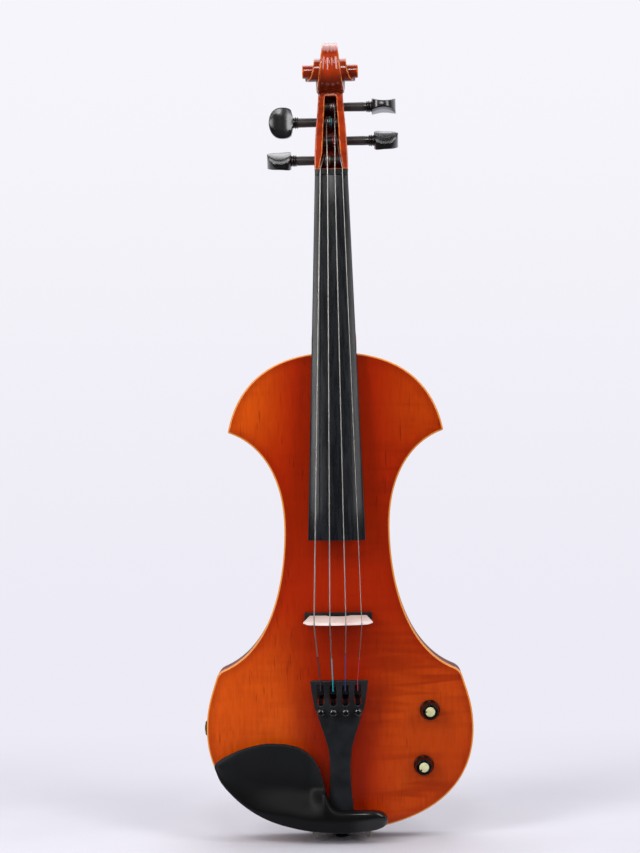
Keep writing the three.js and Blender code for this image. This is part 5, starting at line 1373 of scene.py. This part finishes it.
def peg_shaft(name, index):
    """The tapered shaft of a peg along X, with the rings of its collar."""
    r = PEG_SHAFT / 2
    start = COLLAR_X + PEG_REACHES[index]
    widths = [(row[0], row[3]) for row in PEGBOX_SHARES]
    far = -PEGBOX_WIDTH / 2 * flow_at(widths, PEG_ALONG_SHARES[index])
    tip = r * PEG_TAPER_SHARE
    profile = [(far, tip * PEG_END_SHARE), (far + PEG_END_ROUND, tip), (start, r)]
    big = COLLAR_DIAMETER / 2
    for centre, radius in COLLAR_RINGS:
        for turn in COLLAR_RING_STEPS:
            along = start + COLLAR_LENGTH * (centre + COLLAR_RING_HALF * turn)
            profile.append((along, lerp(big - COLLAR_GROOVE, big * radius, math.cos(turn * math.pi / 2))))
    end = start + COLLAR_LENGTH
    profile += [(end, PEG_NECK / 2), (end + PEG_NECK_LENGTH, PEG_NECK / 2)]
    return turned(name, profile, axis="x", segments=40)


class BuildPegs(bpy.types.Operator):
    """Make the four pegs with their collars and dished thumb pieces"""

    bl_idname = "violin.build_pegs"
    bl_label = "Pegs"

    def execute(self, context):
        wood = peg_wood()
        for i, name in enumerate(STRING_NAMES):
            thumb = thumb_piece("thumb")
            turn = Matrix.Rotation(math.radians(PEG_TURNS[i]), 4, "X")
            reach = COLLAR_X + COLLAR_LENGTH + PEG_REACHES[i]
            thumb.data.transform(turn @ Matrix.Translation((reach, 0, 0)))
            peg = merged(f"turned_peg_{name}", peg_shaft("shaft", i), thumb)
            side = Matrix.Rotation(math.pi if PEG_SIDES[i] < 0 else 0, 4, "Z")
            peg.data.transform(Matrix.Translation(peg_place(i)) @ side)
            finished(peg, f"peg_{name}", "peg_wood", f"peg_{name}", material=wood)
        return {"FINISHED"}


# Strings and other cords

def string_places(index):
    """Where a string crosses the nut and the bridge, and where it is held in the tailpiece."""
    r = STRING_DIAMETERS[index] / 2
    share = index / (len(STRING_DIAMETERS) - 1) - 0.5
    nut_x, bridge_x, tail_x = NUT_SPREAD * share, BRIDGE_SPREAD * share, TAIL_SPREAD * share
    tail_top = FRONT - TAIL_HEAD_HEIGHT + crown(TAIL_RADIUS, tail_x)
    return {
        "nut": (nut_x, FRONT - surface_height(NUT_Z) - NUT_RISE + crown(BOARD_RADIUS, nut_x) - STRING_LIFT),
        "bridge": (bridge_x, FRONT - BRIDGE_HEIGHT + crown(BRIDGE_RADIUS, bridge_x) - STRING_LIFT),
        "tail": (tail_x, tail_top - GAP - r),
        "hook": (tail_x, tail_top + HOOK_RISE - GAP - r),
    }


def winding_start(index):
    """Where the middle of a string's turns lies across the trough."""
    widths = [(row[0], row[2]) for row in TROUGH_SHARES]
    width = float(np.interp(PEG_ALONG_SHARES[index], *zip(*widths)))
    return PEGBOX_WIDTH * width / 2 * WINDING_START_SHARES[index]


def string_route(index):
    """The string's middle line: its turns on the peg, over the nut and bridge, into the tailpiece."""
    r = STRING_DIAMETERS[index] / 2
    place = string_places(index)
    peg = peg_place(index)
    radius = PEG_SHAFT / 2 + GAP + r
    pitch = STRING_DIAMETERS[index] + WINDING_CLEAR
    start_x = winding_start(index)
    dy, dz = place["nut"][1] - peg.y, HEAD_Z - peg.z
    leave = math.atan2(dz, dy) - math.acos(radius / math.hypot(dy, dz))
    steps = WINDING_TURNS * WINDING_STEPS
    route = []
    for k in range(steps + 1):
        angle = leave - 2 * math.pi * (steps - k) / WINDING_STEPS
        x = start_x + PEG_SIDES[index] * pitch * (k / WINDING_STEPS - WINDING_TURNS / 2)
        route.append((x, peg.y + radius * math.cos(angle), peg.z + radius * math.sin(angle)))
    middle = (BRIDGE_LOW.z * 2 + BRIDGE_EDGE) / 2
    hook_z = tail_z(STRING_END_SHARE) - LEVER_THICK
    route += [
        (*place["nut"], HEAD_Z), (*place["nut"], NUT_Z),
        (*place["bridge"], middle + BRIDGE_EDGE / 2), (*place["bridge"], middle - BRIDGE_EDGE / 2),
        (*place["tail"], TAIL_HEAD_Z), (*place["hook"], hook_z),
    ]
    return route


def round_cord_tree():
    """Geometry Nodes: a round cord of a given thickness along a path, in one finish."""
    tree = bpy.data.node_groups.new("Round cord", "GeometryNodeTree")
    tree.is_modifier = True
    face = tree.interface
    sockets = {}
    for name, way, kind in (
            ("Geometry", "INPUT", "Geometry"), ("Radius", "INPUT", "Float"), ("Sides", "INPUT", "Int"),
            ("Finish", "INPUT", "Material"), ("Geometry", "OUTPUT", "Geometry")):
        sockets[name] = face.new_socket(name, in_out=way, socket_type="NodeSocket" + kind).identifier
    outer = node(tree, "NodeGroupInput")
    profile = node(tree, "GeometryNodeCurvePrimitiveCircle", {
        "Resolution": outer.outputs["Sides"], "Radius": outer.outputs["Radius"]})
    skin = node(tree, "GeometryNodeCurveToMesh", {
        "Curve": outer.outputs["Geometry"], "Profile Curve": profile.outputs["Curve"], "Fill Caps": True})
    real = node(tree, "GeometryNodeRealizeInstances", {"Geometry": skin.outputs[0]})
    smooth = node(tree, "GeometryNodeSetShadeSmooth", {"Geometry": real.outputs[0]})
    coated = node(tree, "GeometryNodeSetMaterial", {
        "Geometry": smooth.outputs[0], "Material": outer.outputs["Finish"]})
    node(tree, "NodeGroupOutput", {"Geometry": coated.outputs[0]})
    return tree, sockets


def cord_piece(name, route, radius, material, tree, sockets):
    """A cord along a route, as the node tree makes it."""
    path = bpy.data.curves.new(name, "CURVE")
    path.dimensions = "3D"
    run = path.splines.new("POLY")
    run.points.add(len(route) - 1)
    for point, place in zip(run.points, route):
        point.co = (*place, 1)
    line = placed(name + "_path", path)
    maker = line.modifiers.new("cord", "NODES")
    maker.node_group = tree
    maker[sockets["Radius"]] = radius
    maker[sockets["Sides"]] = STRING_SIDES
    maker[sockets["Finish"]] = material
    mesh = shaped_mesh(line, name)
    bpy.data.objects.remove(line)
    return placed(name, mesh)


class BuildStrings(bpy.types.Operator):
    """Lay the four strings from their pegs to the tailpiece"""

    bl_idname = "violin.build_strings"
    bl_label = "Strings"

    def execute(self, context):
        tree, sockets = round_cord_tree()
        for i, name in enumerate(STRING_NAMES):
            piece = cord_piece(f"wound_string_{name}", string_route(i), STRING_DIAMETERS[i] / 2,
                               string_finish(i), tree, sockets)
            finished(piece, "violin", f"string_{name}", f"string_{name}")
        return {"FINISHED"}


# Bridge and pickup

def bridge_outline():
    """The bridge as seen from the tail, from the arch round by the right foot to the left one."""
    low = FRONT - PICKUP_LOW.y
    high = BRIDGE_HEIGHT
    shoulder = BRIDGE_TOP_HALF - BRIDGE_SHOULDER
    edge = high - crown(BRIDGE_RADIUS, shoulder)
    arch_half = BRIDGE_FOOT_HALF - BRIDGE_FOOT_LENGTH
    side = [(arch_half * wide, low + BRIDGE_ARCH * up) for wide, up in arc(BRIDGE_STEPS, math.pi / 2)]
    side += [(BRIDGE_FOOT_HALF, low), (BRIDGE_TOP_HALF, edge - BRIDGE_SHOULDER), (shoulder, edge)]
    for k in range(1, BRIDGE_STEPS + 1):
        x = shoulder * (1 - k / BRIDGE_STEPS)
        side.append((x, high - crown(BRIDGE_RADIUS, x)))
    return side + [(-x, h) for x, h in reversed(side[1:-1])]


def bridge_thickness(x, height):
    """Thickness of the bridge at one place, and how much of it is taken off at its thin ends."""
    low = FRONT - PICKUP_LOW.y
    thick = lerp(BRIDGE_BASE, BRIDGE_EDGE, (height - low) / (BRIDGE_HEIGHT - low))
    narrow = smoothstep(abs(x), BRIDGE_TOP_HALF - BRIDGE_THIN_REACH, BRIDGE_TOP_HALF)
    narrow *= smoothstep(height, *(BRIDGE_HEIGHT * share for share in BRIDGE_THIN_SHARES))
    return thick, max(thick - BRIDGE_END_THICK, 0) * narrow


class BuildBridge(bpy.types.Operator):
    """Make the bridge and the pickup bar under it"""

    bl_idname = "violin.build_bridge"
    bl_label = "Bridge and pickup"

    def execute(self, context):
        rear = BRIDGE_LOW.z
        rings = [[], []]
        for x, h in bridge_outline():
            thick, spare = bridge_thickness(x, h)
            rings[0].append((x, FRONT - h, rear + spare * 0.5))
            rings[1].append((x, FRONT - h, rear + thick - spare * 0.5))
        bridge = loft("maple_bridge", rings)
        carve(bridge, *string_grooves("bridge", rear - OVERRUN, rear + OVERRUN, GAP / 2))
        eased_edges(bridge, BRIDGE_ROUND)
        finished(bridge, "violin", "maple", "bridge", material=bridge_maple())
        bar = eased_edges(block("pickup_case", PICKUP_LOW, PICKUP_HIGH), PICKUP_ROUND)
        finished(bar, "violin", "black_plastic", "pickup_bar",
                 material=moulded_black("pickup_black", "#0b0c0e", 0.4, "#131417"))
        return {"FINISHED"}


# Tailpiece, fine tuners and what holds the tail

def tail_z(share):
    return lerp(TAIL_HEAD_Z, TAIL_END_Z, share)


def tail_height(share):
    return lerp(TAIL_HEAD_HEIGHT, TAIL_END_HEIGHT, share)


def tail_shell():
    """The tailpiece with its round top, narrowing down from its head."""
    rings = []
    for along, width, thick in flow_rows(TAIL_SHARES, TAIL_STEPS):
        half, z = TAIL_HEAD_HALF * width, tail_z(along)
        height = tail_height(along)
        under = FRONT - (height - TAIL_THICK * thick)
        ring = [(half * TAIL_UNDER_SHARE, under, z), (-half * TAIL_UNDER_SHARE, under, z)]
        for x in (half * share for share in across(TAIL_SIDES)):
            ring.append((x, FRONT - height + crown(TAIL_RADIUS, x) * (1 + along), z))
        rings.append(ring)
    return loft("moulded_tailpiece", rings)


def slot_tools(index):
    """What is cut out for one string and its tuner: the slot, the lever's room and the screw's bore."""
    x = string_places(index)["tail"][0]
    r = SLOT_WIDTH / 2
    high, low = tail_z(SLOT_TOP_SHARE), tail_z(SLOT_END_SHARE) + r
    above = FRONT - OVERRUN * 2
    ring = [(x - r, high), (x + r, high)]
    ring += [(x + r * wide, low - r * down) for down, wide in arc(SLOT_STEPS, math.pi)]
    slot = loft(f"slot_{index}", [[(px, y, pz) for px, pz in ring] for y in (above, FRONT)])
    screw_z = tail_z(TUNER_SHARE)
    room_top = FRONT - tail_height(TUNER_SHARE) + TAIL_THICK * LEVER_ROOM_SHARE
    room = block(f"room_{index}", (x - r, room_top, screw_z - TUNER_STEM), (x + r, FRONT, low))
    bore = rod(f"screw_bore_{index}", above, FRONT, TUNER_STEM / 2 + GAP, (x, 0, screw_z), "y", 24)
    return [slot, room, bore]


def tuner_profile(base):
    """A round-headed screw with a waisted foot, from its tip up its stem and over its head."""
    r, stem = TUNER_HEAD / 2, TUNER_STEM / 2
    tip = base + TUNER_LENGTH - TUNER_HEAD_HEIGHT
    foot, seat = TUNER_SEAT_SHARES
    start = base - TUNER_SEAT
    points = [(tip, stem * TUNER_TIP_SHARE), (tip - TUNER_TIP, stem), (base, stem), (base, r * foot),
              (start, r * seat)]
    for k in range(1, TUNER_STEPS + 1):
        angle = math.pi * lerp(TUNER_ROUND_START, 1, k / TUNER_STEPS)
        rise = (1 - math.cos(angle) - TUNER_ROUND_RISE) / (2 - TUNER_ROUND_RISE)
        points.append((start - (TUNER_HEAD_HEIGHT - TUNER_SEAT) * rise,
                       max(r * math.sin(angle) ** TUNER_ROUND_POWER, AXIS_RADIUS)))
    return points


def tuner_lever(name, low, high, axle):
    """A forked lever: wide where it holds the string's end and the axle, narrow under the screw."""
    t = LEVER_THICK
    middle = (low.x + high.x) / 2
    arm_top = high.y - t
    tip, root = high.z + FORK_REACH, axle.z - t * FORK_ROOT

    def bar(part, outline, width):
        return loft(part, [[(middle + side * width / 2, y, z) for z, y in outline] for side in (-1, 1)])

    fork = bar("fork", [
        (axle.z + t, axle.y), (tip, low.y + t), (tip, low.y), (tip - t * FORK_SLANT, low.y),
        (axle.z - t, axle.y - t), (root, arm_top), (root, arm_top + t),
        (axle.z, arm_top + t), (axle.z + t, axle.y + t),
    ], FORK_WIDTH)
    slit = block("slit", (middle - FORK_SLIT / 2, low.y - OVERRUN, tip - FORK_SLIT_LENGTH),
                 (middle + FORK_SLIT / 2, axle.y - t, tip + OVERRUN))
    eased_edges(carve(fork, slit), FORK_ROUND, 2)
    arm = bar("arm", [
        (low.z, arm_top), (axle.z - t, arm_top), (axle.z - t, high.y), (low.z, high.y),
    ], LEVER_ARM_WIDTH)
    return merged(name, fork, arm)


class BuildTail(bpy.types.Operator):
    """Make the tailpiece and its fine tuners"""

    bl_idname = "violin.build_tail"
    bl_label = "Tailpiece and fine tuners"

    def execute(self, context):
        tools = [tool for i in range(len(STRING_NAMES)) for tool in slot_tools(i)]
        tail = carve(tail_shell(), *tools)
        carved_by_hand(tail, TAIL_GRAIN, TAIL_PASSES)
        finished(tail, "violin", "black_plastic", "tailpiece",
                 material=moulded_black("tail_black", "#111316", 0.42, "#181b1f"))
        lacquer = gloss_black("screw_black", 0.1, 0.5, 0.8)
        blued = metal("blued_steel", "#5a5e64", "#24262a", 0.28, 400)
        for name in STRING_NAMES:
            x, _, z = middle_of(f"tuner_screw_{name}")
            profile = tuner_profile(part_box(f"tuner_screw_{name}")[0].y + TUNER_HEAD_HEIGHT)
            screw = turned(f"ball_screw_{name}", profile, (x, 0, z), segments=48)
            finished(screw, f"tuner_screw_{name}", "gloss_black", f"tuner_screw_{name}", material=lacquer)
            low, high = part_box(f"tuner_lever_{name}")
            lever = tuner_lever(f"forked_lever_{name}", low, high, middle_of("tuner_axle"))
            finished(lever, f"tuner_lever_{name}", "black_metal", f"tuner_lever_{name}", material=blued)
        return {"FINISHED"}


# Chinrest

def rest_ring(along, low, high, arm):
    """Section of the chinrest at one place along it, from its outer edge over the ridge to the dish."""
    x = REST_LEFT_X + REST_LENGTH * along
    z0, z1 = REST_FOOT_Z + REST_WIDTH * low, REST_FOOT_Z + REST_WIDTH * high
    grown = smoothstep(along, *REST_APRON_SHARES)
    ridge = lerp(REST_DISH_HEIGHT + REST_RIM, REST_ARM_HEIGHT, arm)
    edge = ridge - lerp(REST_RIM / 2, REST_APRON_DROP, grown)
    rise = smoothstep(along, *REST_RISE_SHARES)
    flat = lerp(REST_DISH_HEIGHT, ridge - REST_ARM_DROP, rise)
    under = lerp(REST_DISH_HEIGHT, ridge - REST_RIM, rise) - REST_THICK
    lip = lerp(REST_EDGE, REST_ARM_EDGE, rise)
    crest = min(lerp(REST_RIM, REST_APRON, grown), (z1 - z0) * REST_CREST_SHARE)
    beyond = z1 - z0 - crest
    valley = min(REST_VALLEY, beyond * lerp(*REST_ARM_ROUND_SHARES, rise))
    far_edge = flat - REST_RIM / 2
    soft = min(REST_SOFT, (z1 - z0) * REST_SOFT_SHARE)
    ring = [(0, edge - REST_EDGE)]
    round_edge = arc(REST_SOFT_STEPS, math.pi / 2)
    ring += [(soft * (1 - far), edge - soft * (1 - near)) for near, far in round_edge]
    ring += [(lerp(soft, crest, share), lerp(edge, ridge, share)) for share in REST_RIDGE_STEPS]
    for share in REST_FALL_STEPS:
        fall = lerp(smoothstep(share, 0, 1), 1 - (1 - share**3) ** (1 / 3), rise)
        ring.append((crest + valley * share, lerp(ridge, flat, fall)))
    ring += [(lerp(crest + valley, z1 - z0 - soft, share), lerp(flat, far_edge, share * share))
             for share in REST_DISH_STEPS]
    ring += [(z1 - z0 - soft * (1 - near), far_edge - soft * (1 - far)) for near, far in round_edge]
    ring += [(z1 - z0, flat - lip), (z1 - z0 - soft, flat - lip - soft)]
    ring += [((crest + valley) * REST_UNDER_SHARE, under), (crest / 2, under)]
    return [(x, FRONT - height, z0 + deep) for deep, height in ring]


class BuildChinrest(bpy.types.Operator):
    """Make the chinrest with its dish, ridge, arm and feet"""

    bl_idname = "violin.build_chinrest"
    bl_label = "Chinrest"

    def execute(self, context):
        alongs = np.append(np.concatenate([np.linspace(*run, endpoint=False) for run in REST_RUNS]), 1)
        rings = [rest_ring(along, *row) for along, row in zip(alongs, flowing(REST_SHARES, alongs))]
        dish = carved_by_hand(loft("rest_dish", rings), REST_GRAIN, REST_PASSES)
        z0 = REST_FOOT_Z + FOOT_RISE
        feet = []
        for x in (-FOOT_SPACING / 2, FOOT_SPACING / 2):
            foot = block("rest_foot", (x - FOOT_WIDTH / 2, FRONT - FOOT_HEIGHT, z0),
                         (x + FOOT_WIDTH / 2, FRONT - CORK, z0 + FOOT_LENGTH))
            feet.append(eased_edges(foot, FOOT_ROUND))
        rest = shade(merged("dished_chinrest", dish, *feet), REST_SHARP_ANGLE)
        finished(rest, "violin", "chinrest_black", "chinrest", material=chinrest_black())
        return {"FINISHED"}


# Knobs

def knob_piece(name, place, top, base):
    """A knob with a seat for its cap, a groove round its flank and a hollow underside."""
    r, cap = KNOB_DIAMETER / 2, CAP_DIAMETER / 2
    height = base - top
    cavity_top = top + height * KNOB_CAVITY_SHARE
    profile = [(top + CAP_THICK, AXIS_RADIUS), (top + CAP_THICK, cap + GAP), (top + CAP_EDGE, cap + GAP),
               (top, cap + GAP * 2)]
    profile += [(top + KNOB_ROUND * (1 - far), KNOB_TOP / 2 - KNOB_ROUND * (1 - near))
                for near, far in arc(KNOB_STEPS, math.pi / 2)]
    profile += [(top + height * down, r * out) for down, out in KNOB_FLANK]
    profile += [(base - KNOB_EDGE, r), (base, r - KNOB_EDGE), (base, KNOB_CAVITY), (cavity_top, KNOB_CAVITY),
                (cavity_top, KNOB_BORE), (top + CAP_THICK * 2, KNOB_BORE), (top + CAP_THICK * 2, AXIS_RADIUS)]
    return turned(name, profile, place)


def cap_piece(name, place, top, turn):
    """Cream disc let into the knob, with the pointer's notch in its rim."""
    r = CAP_DIAMETER / 2
    low, high = top + CAP_RISE, top + CAP_THICK - CAP_SINK
    disc = turned(name, [(high, r), (low, r), (top + CAP_EDGE, r - CAP_EDGE)])
    notch = block("notch", (-CAP_NOTCH / 2, top - OVERRUN, r - CAP_NOTCH),
                  (CAP_NOTCH / 2, top + OVERRUN, r + OVERRUN))
    cap = carve(disc, notch)
    cap.data.transform(Matrix.Translation(place) @ Matrix.Rotation(math.radians(-turn), 4, "Y"))
    return cap


class BuildKnobs(bpy.types.Operator):
    """Make the volume and tone knobs with their caps"""

    bl_idname = "violin.build_knobs"
    bl_label = "Knobs"

    def execute(self, context):
        lacquer = gloss_black("knob_black", 0.24, 0.08, 0.1)
        cream = cream_plastic()
        for name, turn in zip(KNOB_NAMES, KNOB_TURNS):
            low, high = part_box(f"{name}_knob")
            x, _, z = middle_of(f"{name}_knob")
            place = (x, 0, z)
            knob = knob_piece(f"{name}_turned_knob", place, low.y, high.y)
            finished(knob, name, "gloss_black", f"{name}_knob", material=lacquer)
            cap = cap_piece(f"{name}_cream_cap", place, low.y, turn)
            finished(cap, name, "cream", f"{name}_cap", material=cream)
        return {"FINISHED"}


# Pieces whose modelled shape is kept

class FinishKeptPieces(bpy.types.Operator):
    """Give the kept pieces of the model their finishes"""

    bl_idname = "violin.finish_kept_pieces"
    bl_label = "Kept pieces"

    def execute(self, context):
        finishes = {
            bare_spruce(): ("neck_block", "end_block", "upper_block_left", "upper_block_right",
                            "lower_block_left", "lower_block_right"),
            black_wood("button_black", "#101012", "#1f1f22", 0.3, (500, 500, 30)): ("saddle", "end_button"),
            metal("nickel", "#c9c5bc", "#9a958a", 0.22, 300): (
                "tuner_axle", "volume_shaft", "volume_pot", "volume_nut", "tone_shaft", "tone_pot",
                "tone_nut", "output_jack"),
            metal("tarnished_nickel", "#8b857d", "#5c5751", 0.32, 300): (
                "clamp_hook_left", "clamp_hook_right", "clamp_barrel_left", "clamp_barrel_right",
                "clamp_bracket"),
            metal("black_metal", "#2a2a2c", "#121213", 0.35, 400): ("jack_nut",),
            cork(): ("chinrest_cork_left", "chinrest_cork_right", "bracket_cork"),
            moulded_black("nylon", "#151516", 0.45, "#202022"): ("tailgut",),
            insulated_lead(): ("pickup_lead", "tone_lead", "jack_lead"),
        }
        for material, names in finishes.items():
            for name in names:
                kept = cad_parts[name]
                if not kept.material_slots:
                    kept.data.materials.append(material)
                for slot in kept.material_slots:
                    slot.material = material
        return {"FINISHED"}


# Stage

class StageSettings(bpy.types.PropertyGroup):
    """Light and ground."""

    background: color_setting("Background", "Colour behind the violin", "#f6f5fb")
    background_low: color_setting("Low background", "Colour behind the violin near the floor", "#edebf5")
    floor: color_setting("Floor", "Colour of the ground", "#dad8e1")
    room: power_setting("Room light", "Strength of the even light from all round", 0.5)
    key: power_setting("Key light", "Power of the main softbox", 17)
    fill: power_setting("Fill light", "Power of the softbox opposite", 12)
    front: power_setting("Front light", "Power of the softbox over the camera", 4)
    overhead: power_setting("Overhead light", "Power of the overhead softbox", 9)


def softbox(name, place, aim, size, power):
    lamp = bpy.data.lights.new(name, "AREA")
    lamp.shape = "RECTANGLE"
    lamp.size, lamp.size_y = size
    lamp.energy = power
    stand = placed(name, lamp)
    stand.location = place
    stand.rotation_euler = (Vector(aim) - Vector(place)).to_track_quat("-Z", "Y").to_euler()


def build_world(settings):
    """White behind the violin for the camera and for shine, a dim room in front, soft light for the rest."""
    world = bpy.data.worlds.new("studio")
    w = Wiring(world)
    path = w.node("ShaderNodeLightPath").outputs
    w.place = w.node("ShaderNodeTexCoord").outputs["Generated"]
    ahead = w.axis("Y")
    behind = w.span(ahead, *ROOM_BEHIND, DIM_ROOM, 1)
    round_about = w.span(ahead, *ROOM_BEFORE, settings.room * ROOM_BEFORE_SHARE, settings.room)
    straight = w.math("MAXIMUM", path["Is Camera Ray"], path["Is Transmission Ray"])
    seen = w.math("MAXIMUM", straight, path["Is Glossy Ray"])
    wall = w.mix(w.span(w.axis("Z"), *WALL_HEIGHTS), settings.background_low, settings.background)
    plain = w.node("ShaderNodeBackground", {"Color": wall, "Strength": w.math("MAXIMUM", straight, behind)})
    soft = w.node("ShaderNodeBackground", {"Color": linear("#f4f4f8"), "Strength": round_about})
    both = w.shaders(seen, soft.outputs[0], plain.outputs[0])
    w.node("ShaderNodeOutputWorld", {"Surface": both})
    bpy.context.scene.world = world


def build_floor(settings):
    """A pale floor that fades into the background before and behind the violin."""
    mesh = bpy.data.meshes.new("floor")
    corners = [(side * FLOOR_HALF, y, 0) for side, y in (
        (-1, FLOOR_NEAR), (1, FLOOR_NEAR), (1, FLOOR_FAR), (-1, FLOOR_FAR))]
    mesh.from_pydata(corners, [], [(0, 1, 2, 3)])
    s = Shader("floor", 0.75, specular=0.2)
    s.link("Base Color", s.mix(s.span(s.noise((5, 5, 5)), 0.35, 0.7), settings.floor, "#d4d2db"))
    plain, dim = (s.node("ShaderNodeEmission", {"Color": settings.background_low, "Strength": strength})
                  for strength in (1, DIM_ROOM))
    depth = s.axis("Y")
    fade = s.math("MAXIMUM", s.span(depth, *FLOOR_FADE_BEHIND), s.span(depth, *FLOOR_FADE_BEFORE))
    shine = s.node("ShaderNodeLightPath").outputs["Is Glossy Ray"]
    before = s.math("MULTIPLY", shine, s.span(depth, *FLOOR_DIM_BEFORE))
    ground = s.shaders(fade, s.skin.outputs[0], plain.outputs[0])
    s.tree.links.new(s.shaders(before, ground, dim.outputs[0]), s.output.inputs["Surface"])
    mesh.materials.append(s.material)
    placed("floor", mesh)


class BuildStage(bpy.types.Operator):
    """Set the floor, the light and the camera"""

    bl_idname = "violin.build_stage"
    bl_label = "Stage"

    def execute(self, context):
        settings = context.scene.violin_stage
        scene = context.scene
        lens = bpy.data.cameras.new("camera")
        lens.sensor_width = SENSOR
        lens.lens = FOCAL_PIXELS / PICTURE_HEIGHT * SENSOR
        lens.clip_start, lens.clip_end = NEAREST, FARTHEST
        camera = placed("camera", lens)
        level = Euler((math.pi / 2, 0, CAMERA_TURN)).to_matrix()
        camera.rotation_euler = (level @ Matrix.Rotation(CAMERA_ROLL, 3, "Z")).to_euler()
        camera.location = CAMERA_PLACE
        scene.camera = camera
        scene.view_settings.view_transform = "Standard"
        build_world(settings)
        build_floor(settings)
        for name, place, aim, size in LAMPS:
            softbox(name, place, aim, size, getattr(settings, name))
        return {"FINISHED"}


class ViolinPanel(bpy.types.Panel):
    """Buttons that build the violin"""

    bl_idname = "VIEW3D_PT_violin"
    bl_label = "Electric violin"
    bl_space_type = "VIEW_3D"
    bl_region_type = "UI"
    bl_category = "Violin"

    def draw(self, context):
        layout = self.layout
        for group in ("violin_body", "violin_neck", "violin_stage"):
            settings = getattr(context.scene, group)
            box = layout.box()
            for name in settings.__annotations__:
                box.prop(settings, name)
        for maker in OPERATORS:
            layout.operator(maker.bl_idname)


SETTINGS = {"violin_body": BodySettings, "violin_neck": NeckSettings, "violin_stage": StageSettings}
OPERATORS = (BuildBody, BuildNeck, BuildFingerboard, BuildPegs, BuildStrings, BuildBridge, BuildTail,
             BuildChinrest, BuildKnobs, FinishKeptPieces, BuildStage)


def register():
    for kind in (*SETTINGS.values(), *OPERATORS, ViolinPanel):
        bpy.utils.register_class(kind)
    for name, group in SETTINGS.items():
        setattr(bpy.types.Scene, name, bpy.props.PointerProperty(type=group))


def unregister():
    for name in SETTINGS:
        delattr(bpy.types.Scene, name)
    for kind in reversed((*SETTINGS.values(), *OPERATORS, ViolinPanel)):
        bpy.utils.unregister_class(kind)


def main():
    register()
    for maker in OPERATORS:
        family, call = maker.bl_idname.split(".")
        getattr(getattr(bpy.ops, family), call)()


if __name__ == "__main__":
    main()
